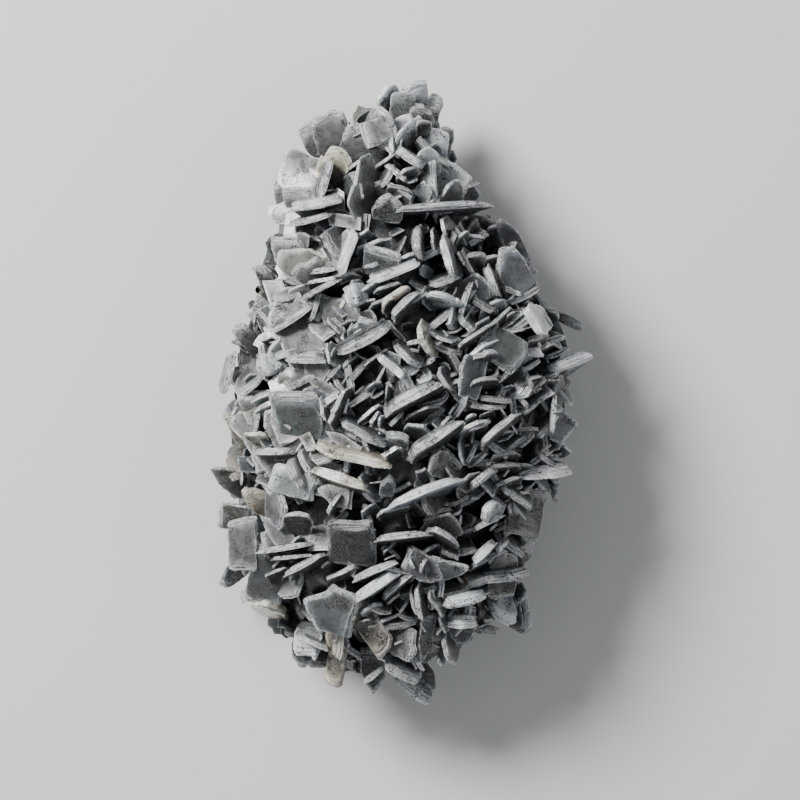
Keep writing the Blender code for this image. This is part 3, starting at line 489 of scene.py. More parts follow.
# Each group of crystals with its piece's name and the finish of each crystal, one letter each, in order.
GROUPS = (
    ("crystals_knob", KNOB, "WWBWPBWWPPPWBWBKSWPWWWSBSB"),
    ("crystals_shoulder", SHOULDER, "PPPCPBPWBPPPSP"),
    ("crystals_left_upper", LEFT_UPPER, "PPPBKBKWWSPPPPWKBSSP"),
    ("crystals_centre_upper", CENTRE_UPPER, "BNNNBWBCBBWBSBNBBBCBWBBBSBS"),
    ("crystals_right_upper", RIGHT_UPPER, "BSBWBSSWBBS"),
    ("crystals_right_lower", RIGHT_LOWER, "BNBBWSNSSBSSN"),
    ("crystals_left_lower", LEFT_LOWER, "PBCCPKCCPWCKBKBK"),
    ("crystals_centre_lower", CENTRE_LOWER, "BBBBBPBWBNNWBBBSB"),
    ("crystals_bottom_left", BOTTOM_LEFT, "PSKKKSSKSWCBCBWSPCC"),
    ("crystals_bottom_centre", BOTTOM_CENTRE, "BWBKKKBBBBBBBPSBBCBBNNWWS"),
    ("crystals_bottom_right", BOTTOM_RIGHT, "WBNBNBSWN"),
)

# A finish letter's colour, its share of black crust, and how white its rims are, partly their own frost and
# partly painted highlight.
Finish = namedtuple("Finish", "colour crust frost")
FINISHES = {
    "P": Finish("pale", 0.12, 0.60),
    "B": Finish("blue", 0.17, 0.70),
    "W": Finish("white", 0.02, 0.90),
    "C": Finish("cream", 0.10, 0.40),
    "S": Finish("slate", 0.22, 0.50),
    "N": Finish("brown", 0.24, 0.45),
    "K": Finish("blue", 0.36, 0.75),
}


def length_setting(name, description, length):
    """A length in metres that the user may change."""
    return FloatProperty(name=name, description=description, default=length, unit="LENGTH", precision=5)


def count_setting(name, description, count):
    """A number of things that the user may change."""
    return IntProperty(name=name, description=description, default=count)


def colour_setting(name, description, colour):
    """A colour that the user may change."""
    return FloatVectorProperty(
        name=name, description=description, default=colour, subtype="COLOR", size=3, min=0, max=1
    )


class BariteShape(PropertyGroup):
    """Sizes of the fine surface."""

    sheet: length_setting("Sheet", "Thickness of one growth sheet in a crystal", 0.00042)
    notch: length_setting("Notch", "Depth of the notches in a sheet's rim", 0.0004)
    bite: length_setting("Bite", "Depth of the broken bays in a crystal's rim", 0.0015)
    step: length_setting("Step", "How far one growth sheet's edge may stand in from the next", 0.0005)
    bow: length_setting("Bow", "How much a crystal is bowed along its rim", 0.00035)
    rim_points: count_setting("Rim points", "Points round a large crystal's rim", 80)
    filler_count: count_setting("Fillers", "Middling crystals seeded between the large ones", 320)
    druse_count: count_setting("Druse", "Small crystals round the flank's foot", 360)
    shard_count: count_setting("Shards", "Small crystals seeded in the gaps", 260)


class BariteLook(PropertyGroup):
    """Colours of the mineral, its crust and the stage."""

    # Partly own colour and partly painted light: the left flank faces the key light.
    pale: colour_setting("Pale", "Faces of the left flank", (0.27, 0.282, 0.278))
    blue: colour_setting("Blue", "Blue-grey crystals", (0.13, 0.143, 0.156))
    white: colour_setting("White", "Bright bluish crystals", (0.52, 0.555, 0.59))
    cream: colour_setting("Cream", "Creamy crystals", (0.47, 0.44, 0.365))
    # Partly own colour and partly painted shade: the right side looks away from the key light.
    slate: colour_setting("Slate", "Dark crystals of the right side", (0.075, 0.084, 0.094))
    brown: colour_setting("Brown", "Brownish rough crystals", (0.15, 0.142, 0.130))
    # Rims partly frosted white and partly painted highlight; the painted glints take this colour too.
    frost: colour_setting("Frost", "Bright rims", (0.88, 0.90, 0.92))
    # Black crust and specks, and painted shade on faces that look down the specimen.
    crust: colour_setting("Crust", "Black crust and specks", (0.010, 0.0095, 0.009))
    crumb: colour_setting("Crumb", "Greyer grains in the crust", (0.13, 0.125, 0.118))
    # Painted shade deep in the gaps.
    deep_shade: colour_setting("Deep", "Mineral deep in the gaps", (0.016, 0.020, 0.025))
    floor: colour_setting("Floor", "Pale floor of the stage", (0.84, 0.84, 0.83))


def outline_radius(angle):
    """Distance from the middle to the widest outline at these angles: a smooth cubic from one given distance
    to the next."""
    given = np.array(OUTLINE)
    place = (np.asarray(angle) / (2.0 * np.pi)) % 1.0 * len(given)
    first = np.floor(place).astype(int)
    share = place - first
    before, here, after, beyond = (given[(first + step) % len(given)] for step in (-1, 0, 1, 2))
    bend = 2 * before - 5 * here + 4 * after - beyond
    twist = 3 * (here - after) + beyond - before
    return here + 0.5 * share * (after - before + share * (bend + share * twist))


def mound_height(x, y):
    """Height of the rims over the cut: the girth's height plus the rest times (1 - share^2.3)^0.62, where
    share is the distance from the middle over the outline's."""
    share = np.minimum(np.hypot(x, y) / outline_radius(np.arctan2(y, x)), 1.0)
    return GIRTH_HEIGHT + (TOP_HEIGHT - GIRTH_HEIGHT) * (1.0 - share**DOME_FALL) ** DOME_ROUND


def unit(vector):
    """A vector over its own length."""
    return vector / np.linalg.norm(vector)


def room_outside(middle, side):
    """How far a rim may still move to this side before it passes the widest outline."""
    for step in range(ROOM_STEPS):
        place = middle + step * ROOM_STEP * side
        if np.hypot(*place) > outline_radius(np.arctan2(place[1], place[0])) - RIM_MARGIN:
            return (step - 1) * ROOM_STEP
    return ROOM_STEPS * ROOM_STEP


def place_crystal(crystal):
    """A crystal's rim ends, the way that it points into the mass and how far, as in the solid model."""
    run = np.array([crystal.x2 - crystal.x1, crystal.y2 - crystal.y1])
    length = float(np.hypot(*run))
    side = np.array([-run[1], run[0]]) / length * (1.0 if crystal.lean > 0 else -1.0)
    lean = math.radians(abs(crystal.lean))
    reach = crystal.breadth * math.sin(lean)
    middle = np.array([crystal.x1 + crystal.x2, crystal.y1 + crystal.y2]) / 2
    slope = float(mound_height(*middle) - mound_height(*(middle + reach * side)))
    if lean > FLAT_LEAN and slope > FLAT_SHARE * crystal.breadth * math.cos(lean):
        tilt = min(math.pi / 2 - lean, TILT_SHARE * math.atan2(slope, reach))
        middle = middle + min(FAR_SHARE * reach, max(0.0, room_outside(middle, side))) * side
        inward = np.array([-math.cos(tilt) * side[0], -math.cos(tilt) * side[1], math.sin(tilt)])
        breadth = crystal.breadth + ROOT
    else:
        edge = min(np.hypot(*middle) / float(outline_radius(np.arctan2(middle[1], middle[0]))), 1.0) ** 3
        pull = PULL_IN * edge * unit(middle)
        inward = np.array([*(math.sin(lean) * side - pull), -math.cos(lean)])
        breadth = crystal.breadth * (1.0 + EDGE_REACH * edge)
        middle = middle + EDGE_OUT * breadth / np.linalg.norm(inward) * pull
        inward = unit(inward)
    starts = np.array([middle - run / 2, middle + run / 2])
    heights = mound_height(*(RIM_PULL * starts.T))
    climb = float(np.clip(heights[1] - heights[0], -MOST_CLIMB * length, MOST_CLIMB * length))
    sink = FLAT_SINK if lean > FLAT_LEAN else 0.0
    height = float(mound_height(*(RIM_PULL * middle))) + crystal.lift - sink
    return np.column_stack([starts, [height - climb / 2, height + climb / 2]]), inward, breadth


def rim_curve(corners, count):
    """Points at equal steps round a closed outline, with its corners rounded by a running mean. With few
    points, the outline's corners, and the middles of its sides where the count allows."""
    if count <= 2 * len(corners):
        middles = (corners + np.roll(corners, -1, axis=0)) / 2
        both = np.stack([corners, middles], axis=1).reshape(-1, 2)
        return both[::2 * len(corners) // count]
    ring = np.vstack([corners, corners[:1]])
    ways = np.concatenate([[0.0], np.cumsum(np.hypot(*np.diff(ring, axis=0).T))])
    steps = np.arange(count) / count * ways[-1]
    points = np.column_stack([np.interp(steps, ways, ring[:, 0]), np.interp(steps, ways, ring[:, 1])])
    reach = round(ROUNDING * count)
    return np.mean([np.roll(points, shift, axis=0) for shift in range(-reach, reach + 1)], axis=0)


def bites(rng, count, depth):
    """How far a whole crystal's rim stands in: straight stretches between corners at random places."""
    corners = np.sort(rng.random(BITE_CORNERS))
    depths = rng.random(BITE_CORNERS) ** BITE_POWER
    return depth * np.interp(np.arange(count) / count, corners, depths, period=1.0)


def notches(rng, sheets, count, depth):
    """How far each rim point of each sheet stands in: runs of equal depth, as of steps, and roughness."""
    runs = max(FEWEST_NOTCHES, count // NOTCH_POINTS)
    steps = depth * rng.random((sheets, runs)) ** NOTCH_POWER
    places = np.sort(rng.integers(0, runs, (sheets, count)), axis=1)
    return np.take_along_axis(steps, places, axis=1) + NOTCH_GRAIN * depth * rng.random((sheets, count))


def polar_triangles(rows, count):
    """Triangles of a closed surface: rows of points round it, and one point in the middle at either end."""
    here = np.arange(count)
    after = (here + 1) % count
    first = count * np.arange(rows - 1)[:, None]
    low, low_after = first + here, first + after
    high, high_after = low + count, low_after + count
    top = count * (rows - 1)
    return np.concatenate([
        np.stack([low, low_after, high_after], axis=-1).reshape(-1, 3),
        np.stack([low, high_after, high], axis=-1).reshape(-1, 3),
        np.column_stack([after, here, np.full(count, rows * count)]),
        np.column_stack([top + here, top + after, np.full(count, rows * count + 1)]),
    ])


def sheet_insets(rng, cuts, full_side, ring, room, half, thick, shape):
    """How far each growth sheet's edge stands in from the outline: a bevel towards the smaller face, wider
    at the rim's ends, a stagger from sheet to sheet, each sheet's notches, and bites through them all."""
    sheets, count = len(cuts) - 1, len(ring)
    level = (cuts[1:] + cuts[:-1]) / 2
    ends_share = np.abs(ring[:, 0] / half)
    bevel = RIM_BEVEL * thick * (1.0 + END_BEVEL * ends_share**3) * ((1.0 - full_side * level) / 2)[:, None]
    stagger = thick * np.abs(level) ** STAGGER_POWER * rng.uniform(*STAGGER, sheets)
    stagger += shape.step / MM * min(1.0, thick / FULL_STEP) * rng.random(sheets)
    notched = notches(rng, sheets, count, shape.notch / MM * min(1.0, LEAST_NOTCH + thick / FULL_NOTCH))
    bitten = bites(rng, count, shape.bite / MM * min(1.0, half / FULL_BITE))
    return np.minimum(bevel + stagger[:, None] + notched + bitten, DEEPEST_INSET * room)


def crystal_rows(inset, cuts, room, face_rows):
    """Each row's inset, its level across the crystal and its distance from the rim, from face to face."""
    insets, levels, rims = [], [], []
    for share, dome in face_rows:
        insets.append(inset[0] + share * (room - inset[0]))
        levels.append(-dome)
        rims.append(share * room)
    for sheet, edge in enumerate(inset):
        insets += [edge, edge]
        levels += [EDGE_LEVEL * cuts[sheet], EDGE_LEVEL * cuts[sheet + 1]]
        rims += [RIM_SHARE * (edge - inset.min(axis=0))] * 2
    for share, dome in face_rows[::-1]:
        insets.append(inset[-1] + share * (room - inset[-1]))
        levels.append(dome)
        rims.append(share * room)
    return np.array(insets), np.array(levels), np.array(rims)


def crystal_looks(rng, finish, colours, sheets, levels, rims, room, across):
    """The looks of each point: its distance from the rim, its share of crust, with painted shade added on a
    face that looks down the specimen, away from the key light, its tint, which differs from sheet to sheet,
    and how white its rim is, partly its own frost and partly painted highlight."""
    count = len(room)
    rim = np.append(rims.ravel(), [room.max(), room.max()])
    falls = np.clip(np.array([across[1], -across[1]]) - DOWN_FACE_START, 0.0, DOWN_FACE_SPAN)
    under = rng.uniform(0.0, 1.0) * falls / DOWN_FACE_SPAN
    side = (1.0 + np.append(np.repeat(levels, count), [-1.0, 1.0])) / 2
    # painted shade: more crust on a face that looks down the specimen, away from the key light
    crust = finish.crust + UNDER_CRUST_AND_SHADE * (under[0] + (under[1] - under[0]) * side)
    tint = colours[finish.colour] * rng.uniform(*TINT_RANGE) * rng.uniform(*HUE_RANGE, 3)
    plain = np.ones(len(levels) // 2 - sheets)
    bands = np.concatenate([plain, np.repeat(rng.uniform(*BAND_RANGE, sheets), 2), plain])
    return {
        "rim": rim,
        "crust": crust * np.clip(rim / CLEAN_RIM, LEAST_CRUST, 1.0),
        "tint": tint * np.append(np.repeat(bands, count), [1.0, 1.0])[:, None],
        "frost": np.full(len(rim), finish.frost),
    }


def grow_crystal(ends, inward, thick, breadth, outline, number, finish, count, shape, colours):
    """One crystal, a lens of growth sheets. Its rows of points run from the middle of one face out to the
    rim, over each sheet's edge and in to the middle of the other face. A point is middle + (s + slant d)
    along + d down + c across, with s and d on the tablet's outline moved in by the row's inset, and c the
    row's level times 1 - taper |s / half|^2.4, so that the rim ends in a point."""
    start, end = ends
    middle = (start + end) / 2
    along = unit(end - start)
    half = np.linalg.norm(end - start) / 2
    slant = float(inward @ along)
    down = inward - slant * along
    slant = float(np.clip(slant / np.linalg.norm(down), -MOST_SLANT, MOST_SLANT))
    down = unit(down)
    across = np.cross(along, down)
    full_side = -1 if across @ BRIGHT_SIDE > 0 else 1

    rng = np.random.default_rng((SEED, number))
    stray = rng.uniform(-TABLET_WOBBLE, TABLET_WOBBLE, (len(outline), 2))
    ring = rim_curve((np.array(outline) + stray) * (half, breadth), count)
    spine = np.column_stack([np.clip(ring[:, 0], -SPINE * half, SPINE * half), np.full(count, breadth / 2)])
    room = np.linalg.norm(spine - ring, axis=1)
    towards = (spine - ring) / room[:, None]

    rng = np.random.default_rng((SEED, number, 1))
    simple = count <= 2 * len(outline)
    sheets = count // len(outline)
    if not simple:
        sheets = int(np.clip(round(thick / (shape.sheet / MM)), 1, MOST_SHEETS))
    cuts = np.linspace(-1, 1, sheets + 1)
    cuts[1:-1] += rng.uniform(-SHEET_STRAY, SHEET_STRAY, sheets - 1) * 2 / sheets
    inset = sheet_insets(rng, cuts, full_side, ring, room, half, thick, shape)
    insets, levels, rims = crystal_rows(inset, cuts, room, () if simple else FACE_ROWS)

    flat = ring[None] + insets[:, :, None] * towards[None]
    pinch = 1.0 - rng.uniform(*END_TAPER) * np.clip(np.abs(flat[:, :, 0]) / half, 0, 1) ** TAPER_POWER
    c = thick / 2 * (levels[:, None] * pinch + PINCH_SIDE * full_side * (1.0 - pinch))
    poles = [(0.0, breadth / 2, -thick / 2), (0.0, breadth / 2, thick / 2)]
    own = np.concatenate([np.dstack([flat, c]).reshape(-1, 3), poles])
    s, d, c = own.T
    bow = rng.uniform(-1, 1) * shape.bow / MM * min(1.0, half / FULL_BOW) * ((s / half) ** 2 - BOW_MIDDLE)
    world = middle + (s + slant * d)[:, None] * along + d[:, None] * down + (c + bow)[:, None] * across
    grown = crystal_looks(rng, finish, colours, sheets, levels, rims, room, across)
    grown["points"] = world
    grown["triangles"] = polar_triangles(len(levels), count)
    grown["inner"] = own + rng.uniform(0.0, INNER_SPREAD, 3)
    return grown


def join_shapes(shapes):
    """Many shapes as one set of arrays."""
    names = [name for name in shapes[0] if name != "triangles"]
    joined = {name: np.concatenate([shape[name] for shape in shapes]) for name in names}
    firsts = np.cumsum([0] + [len(shape["points"]) for shape in shapes[:-1]])
    triangles = [shape["triangles"] + first for shape, first in zip(shapes, firsts)]
    joined["triangles"] = np.concatenate(triangles)
    return joined


def put_mesh(name, shape, smooth=False):
    """A piece of the object from its arrays, shifted to the frame, with its looks as attributes."""
    points = shape["points"]
    # depth under the mound of rims, by which the material paints shade in the gaps
    sunk = np.clip(mound_height(points[:, 0], points[:, 1]) - points[:, 2], 0.0, DEEPEST)
    points = points + np.array([SHIFT_X, SHIFT_Y, 0.0])
    points[:, 2] = np.maximum(points[:, 2], 0.0)
    mesh = bpy.data.meshes.new(name)
    triangles = shape["triangles"].astype(np.int32)
    mesh.vertices.add(len(points))
    mesh.vertices.foreach_set("co", (MM * points).astype(np.float32).ravel())
    mesh.loops.add(triangles.size)
    mesh.loops.foreach_set("vertex_index", triangles.ravel())
    mesh.polygons.add(len(triangles))
    mesh.polygons.foreach_set("loop_start", np.arange(0, triangles.size, 3, dtype=np.int32))
    mesh.update(calc_edges=True)
    mesh.validate()
    measures = {"rim": shape["rim"], "crust": shape["crust"], "frost": shape["frost"], "sunk": sunk}
    for label, values in measures.items():
        attribute = mesh.attributes.new(label, "FLOAT", "POINT")
        attribute.data.foreach_set("value", values.astype(np.float32))
    inner = mesh.attributes.new("inner", "FLOAT_VECTOR", "POINT")
    inner.data.foreach_set("vector", shape["inner"].astype(np.float32).ravel())
    tint = mesh.attributes.new("tint", "FLOAT_COLOR", "POINT")
    colours = np.column_stack([shape["tint"], np.ones(len(points))])
    tint.data.foreach_set("color", colours.astype(np.float32).ravel())
    if smooth:
        mesh.shade_smooth()
    else:
        mesh.shade_flat()
    mesh.materials.append(barite_material())
    piece = bpy.data.objects.new(name, mesh)
    bpy.context.scene.collection.objects.link(piece)
    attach(piece, BODY)
    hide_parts(NODE)
    return piece


def look_colours():
    """The colours that crystals take their tint from."""
    look, names = bpy.context.scene.barite_look, ("pale", "blue", "white", "cream", "slate", "brown")
    return {name: np.array(getattr(look, name)) for name in names}


def feed(tree, socket, value):
    """Gives a socket its value, or links it from another socket."""
    if isinstance(value, bpy.types.NodeSocket):
        tree.links.new(value, socket)
    else:
        socket.default_value = value


def add_node(tree, kind, inputs=(), **settings):
    """A shader node with its settings, and its inputs by name."""
    made = tree.nodes.new(kind)
    for name, value in settings.items():
        setattr(made, name, value)
    for name, value in dict(inputs).items():
        feed(tree, made.inputs[name], value)
    return made


def read_attribute(tree, name, output="Fac"):
    """One of the looks that the mesh carries at its points."""
    return add_node(tree, "ShaderNodeAttribute", attribute_name=name).outputs[output]


def scaled(tree, vector, scale):
    """A vector times a scale for each of its directions."""
    return add_node(tree, "ShaderNodeMapping", {"Vector": vector, "Scale": scale}).outputs["Vector"]


def noise(tree, vector, scale, detail, roughness):
    """Noise with features of about one over scale millimetres."""
    inputs = {"Vector": vector, "Scale": scale, "Detail": detail, "Roughness": roughness}
    return add_node(tree, "ShaderNodeTexNoise", inputs).outputs["Fac"]


def cell_distance(tree, vector, scale):
    """Distance to the nearest of points strewn at random, in steps of one over scale millimetres."""
    inputs = {"Vector": vector, "Scale": scale, "Randomness": 1.0}
    return add_node(tree, "ShaderNodeTexVoronoi", inputs).outputs["Distance"]


def ramp(tree, value, low, high, start=0.0, end=1.0):
    """The value between low and high, smoothly, as a share from start to end."""
    inputs = {"Value": value, "From Min": low, "From Max": high, "To Min": start, "To Max": end}
    return add_node(tree, "ShaderNodeMapRange", inputs, interpolation_type="SMOOTHSTEP").outputs["Result"]


def math_node(tree, operation, first, second):
    """A sum, product, greater one or test of two values."""
    made = add_node(tree, "ShaderNodeMath", operation=operation)
    feed(tree, made.inputs[0], first)
    feed(tree, made.inputs[1], second)
    return made.outputs["Value"]


def product(tree, first, *others):
    """Values multiplied one after another."""
    for other in others:
        first = math_node(tree, "MULTIPLY", first, other)
    return first


def mix_colour(tree, share, first, second, blend="MIX"):
    """Two colours mixed by a share, each a socket or a colour."""
    made = add_node(tree, "ShaderNodeMix", data_type="RGBA", blend_type=blend)
    for place, value in ((0, share), (6, first), (7, second)):
        feed(tree, made.inputs[place], value)
    return made.outputs[2]


def mineral_colour(tree, look, inner, mottle, grain, streak, edge):
    """The crystal's own tint, mottled and grained, striped along its rims, with painted light near the rims
    and painted shade towards the middle of its faces, rims partly frosted and partly painted highlight,
    painted glints, and painted shade deep in the gaps."""
    rim, sunk = read_attribute(tree, "rim"), read_attribute(tree, "sunk")
    striped = product(tree, edge, ramp(tree, streak, *STREAK_SHADE))
    # painted light near the rims and painted shade towards the middle of a face
    shade = product(
        tree, ramp(tree, mottle, *MOTTLE_SHADE), math_node(tree, "ADD", striped, 1.0),
        ramp(tree, grain, *GRAIN_SHADE), ramp(tree, rim, *RIM_LIGHT_FACE_SHADE)
    )
    grey = add_node(tree, "ShaderNodeCombineColor", {"Red": shade, "Green": shade, "Blue": shade})
    colour = mix_colour(tree, 1.0, read_attribute(tree, "tint", "Color"), grey.outputs["Color"], "MULTIPLY")

    # white rims: partly their own frost and partly painted highlight
    frost_highlight_amount = product(tree, ramp(tree, rim, *FROST_HIGHLIGHT_REACH), read_attribute(tree, "frost"))
    frost_highlight_amount = product(tree, frost_highlight_amount, ramp(tree, streak, *FROST_HIGHLIGHT_STREAKS))
    colour = mix_colour(tree, frost_highlight_amount, colour, (*look.frost, 1.0))
    # painted glints near the rims, in the bright rim colour
    painted_glints = ramp(tree, noise(tree, inner, *GLINT_NOISE), *GLINT_SHARE)
    glint_amount = product(tree, painted_glints, ramp(tree, rim, *GLINT_REACH))
    colour = mix_colour(tree, glint_amount, colour, (*look.frost, 1.0))
    # painted shade deep in the gaps
    return mix_colour(tree, ramp(tree, sunk, *DEEP_SHADE_SHARE), colour, (*look.deep_shade, 1.0))


def specks(tree, inner):
    """Round black spots and short dashes, which come in patches and grow towards the middle of a patch."""
    spot_size = ramp(tree, noise(tree, inner, *SPOT_AREAS), *SPOT_SIZE)
    spots = math_node(tree, "LESS_THAN", cell_distance(tree, inner, SPOTS), spot_size)
    dash_size = ramp(tree, noise(tree, inner, *DASH_AREAS), *DASH_SIZE)
    dash_distance = cell_distance(tree, scaled(tree, inner, DASH_SCALE), 1.0)
    dashes = math_node(tree, "LESS_THAN", dash_distance, dash_size)
    return math_node(tree, "MAXIMUM", spots, dashes)


def crust_and_shade_patches(tree, inner):
    """Ragged patches of black crust, with painted shade on faces that look down the specimen, as far as the
    crystal's share of crust and shade lets them spread.
    """
    patches = product(tree, noise(tree, inner, *CRUST_FINE), noise(tree, inner, *CRUST_PATCHES))
    gain = product(tree, read_attribute(tree, "crust"), CRUST_AND_SHADE_GAIN)
    return ramp(tree, math_node(tree, "ADD", patches, gain), *CRUST_AND_SHADE_SHARE)


def barite_material():
    """Waxy translucent barite under black specks and grainy crust, with painted light and shade: highlights
    and glints on the rims, shade on faces that look down the specimen and deep in the gaps.
    """
    known = bpy.data.materials.get("barite_finish_and_painted_light")
    if known:
        return known
    look = bpy.context.scene.barite_look
    material = bpy.data.materials.new("barite_finish_and_painted_light")
    material.use_nodes = True
    tree = material.node_tree
    shader = tree.nodes["Principled BSDF"]
    inner = read_attribute(tree, "inner", "Vector")
    mottle, grain = noise(tree, inner, *MOTTLE), noise(tree, inner, *GRAIN)
    streak = noise(tree, scaled(tree, inner, STREAK_SCALE), *STREAK)
    edge = ramp(tree, read_attribute(tree, "rim"), *STREAK_REACH)
    colour = mineral_colour(tree, look, inner, mottle, grain, streak, edge)

    # black crust, and painted shade on faces that look down the specimen
    crusted_and_shaded = crust_and_shade_patches(tree, inner)
    dark = math_node(tree, "MAXIMUM", specks(tree, inner), crusted_and_shaded)
    crumbs = noise(tree, inner, *CRUMBS)
    crumbly = ramp(tree, crumbs, *CRUMB_SHARE)
    crust_and_shade_colour = mix_colour(tree, crumbly, (*look.crust, 1.0), (*look.crumb, 1.0))
    feed(tree, shader.inputs["Base Color"], mix_colour(tree, dark, colour, crust_and_shade_colour))

    roughness = {"Factor": dark, "A": ramp(tree, mottle, *WAX_ROUGHNESS), "B": CRUST_ROUGHNESS}
    rough = add_node(tree, "ShaderNodeMix", roughness, data_type="FLOAT")
    feed(tree, shader.inputs["Roughness"], rough.outputs["Result"])
    relief = math_node(tree, "ADD", product(tree, streak, edge), product(tree, grain, GRAIN_RELIEF))
    relief = math_node(tree, "ADD", relief, product(tree, crumbs, crusted_and_shaded, CRUMB_RELIEF))
    bump = add_node(tree, "ShaderNodeBump", {"Height": relief, **BUMP})
    feed(tree, shader.inputs["Normal"], bump.outputs["Normal"])
    for name, value in WAX.items():
        shader.inputs[name].default_value = value
    return material


def grown_piece(name, crystals, finishes, first_number, count):
    """One piece of crystals that grow on the mound."""
    shape, colours = bpy.context.scene.barite_shape, look_colours()
    grown = []
    for number, (crystal, letter) in enumerate(zip(crystals, finishes), start=first_number):
        ends, inward, breadth = place_crystal(crystal)
        outlines = LEANING_OUTLINES if math.radians(abs(crystal.lean)) > FLAT_LEAN else EDGE_ON_OUTLINES
        outline = outlines[number % len(outlines)]
        grown.append(grow_crystal(
            ends, inward, crystal.thick, breadth, outline, number, FINISHES[letter], count, shape, colours
        ))
    return put_mesh(name, join_shapes(grown))


class BARITE_OT_crystals(Operator):
    """Grow the large crystals, one piece for each region of the specimen"""

    bl_idname = "barite.crystals"
    bl_label = "Large crystals"

    def execute(self, context):
        number = 0
        for name, rows, finishes in GROUPS:
            if len(rows) != len(finishes):
                raise ValueError(f"{name} has {len(rows)} crystals and {len(finishes)} finishes")
            crystals = [Crystal(*row) for row in rows]
            grown_piece(name, crystals, finishes, number, context.scene.barite_shape.rim_points)
            number += len(crystals)
        return {"FINISHED"}


def ways_round(angle, rise, turn):
    """At an angle round the mass, the unit vector that points out and rises by this slope, and the one
    square to it that is turned by this much from the level."""
    out = unit(np.array([math.cos(angle), math.sin(angle), rise]))
    level = np.array([-math.sin(angle), math.cos(angle), 0.0])
    return out, math.cos(turn) * level + math.sin(turn) * np.cross(out, level)


def flank_crystals(colours, shape):
    """Rows of crystals round the flank, pointing outwards, from the same draws as in the solid model."""
    rng = np.random.default_rng(SEED + 1)
    first_number = sum(len(rows) for _, rows, _ in GROUPS)
    grown = []
    for height, share, count in FLANK_ROWS:
        for number in range(count):
            angle = 2.0 * math.pi * (number + rng.uniform(-FLANK_SPREAD, FLANK_SPREAD)) / count
            reach = share * float(outline_radius(angle)) - rng.uniform(*FLANK_INSET)
            rise = rng.uniform(*FLANK_RISE)
            twist = rng.uniform(-FLANK_TWIST, FLANK_TWIST)
            turn = math.radians(twist + (90.0 if rng.random() < UPRIGHT_SHARE else 0.0))
            out, along = ways_round(angle, rise, turn)
            level = height + rng.uniform(-FLANK_STRAY, FLANK_STRAY)
            middle = np.array([reach * math.cos(angle), reach * math.sin(angle), level])
            half = rng.uniform(*FLANK_LENGTH) / 2 * (END_LENGTH if abs(middle[1]) > END_START else 1.0)
            thick, breadth = rng.uniform(*FLANK_THICKNESS), FLANK_ROOT * rng.uniform(*FLANK_BREADTH)
            # pale on the left, towards the key light, and dark on the right: partly own colour, partly
            # painted light and shade
            finishes = FLANK_LIT_SHADED_FINISHES["pale" if math.cos(angle) < LIT_PALE_SIDE else "dark"]
            ends = np.array([middle - half * along, middle + half * along])
            grown.append(grow_crystal(
                ends, -out, thick, breadth, EDGE_ON_OUTLINES[number % len(EDGE_ON_OUTLINES)],
                first_number + len(grown), FINISHES[finishes[len(grown) % len(finishes)]], shape.rim_points,
                shape, colours
            ))
    return grown


def flank_druse(colours, shape):
    """Small crystals all round the mass's lower part: their rims stand DRUSE_OUT outside it, at even steps
    of angle and at random heights. The mass is a quarter ellipse above the girth and narrows to the cut."""
    count = shape.druse_count
    rng = np.random.default_rng(SEED + DRUSE_SEED)
    strays = rng.uniform(-DRUSE_STRAY, DRUSE_STRAY, count)
    angles = 2.0 * np.pi * (np.arange(count) * GOLDEN_SHARE + strays)
    heights = rng.uniform(*DRUSE_HEIGHT, count)
    climb = np.clip((heights - MOUND_GIRTH) / (MOUND_TOP - MOUND_GIRTH), 0.0, 1.0)
    narrow = CUT_INSET + (1.0 - CUT_INSET) * np.minimum(heights / MOUND_GIRTH, 1.0)
    reach = (outline_radius(angles) - CORE_DEPTH) * (np.sqrt(1.0 - climb**2) * narrow)
    reach = reach + rng.uniform(*DRUSE_OUT, count)
    rises = climb + rng.uniform(*DRUSE_RISE, count)
    turns = rng.uniform(-0.5 * np.pi, 0.5 * np.pi, count)
    halves, thick = rng.uniform(*DRUSE_HALF, count), rng.uniform(*DRUSE_THICKNESS, count)
    # pale on the left, towards the key light, and dark on the right: partly own colour, partly painted light
    # and shade
    pale, dark = (rng.choice(list(DRUSE_LIT_SHADED_FINISHES[side]), count) for side in ("pale", "dark"))
    letters = np.where(np.cos(angles) < LIT_PALE_SIDE, pale, dark)
    grown = []
    for number in range(count):
        out, along = ways_round(angles[number], rises[number], turns[number])
        across = [reach[number] * math.cos(angles[number]), reach[number] * math.sin(angles[number])]
        middle = np.array([*across, heights[number]])
        half = min(halves[number], heights[number] / max(abs(along[2]), LEAST_STEEPNESS))
        ends = np.array([middle - half * along, middle + half * along])
        grown.append(grow_crystal(
            ends, -out, thick[number], DRUSE_BREADTH, EDGE_ON_OUTLINES[number % len(EDGE_ON_OUTLINES)],
            DRUSE_FIRST + number, FINISHES[letters[number]], 2 * CORNERS, shape, colours
        ))
    return grown


class BARITE_OT_flank(Operator):
    """Grow the crystals round the flank, where the mass curves under towards the cut"""

    bl_idname = "barite.flank"
    bl_label = "Flank crystals"

    def execute(self, context):
        colours, shape = look_colours(), context.scene.barite_shape
        put_mesh("crystals_flank", join_shapes(flank_crystals(colours, shape)))
        put_mesh("crystals_druse", join_shapes(flank_druse(colours, shape)))
        return {"FINISHED"}


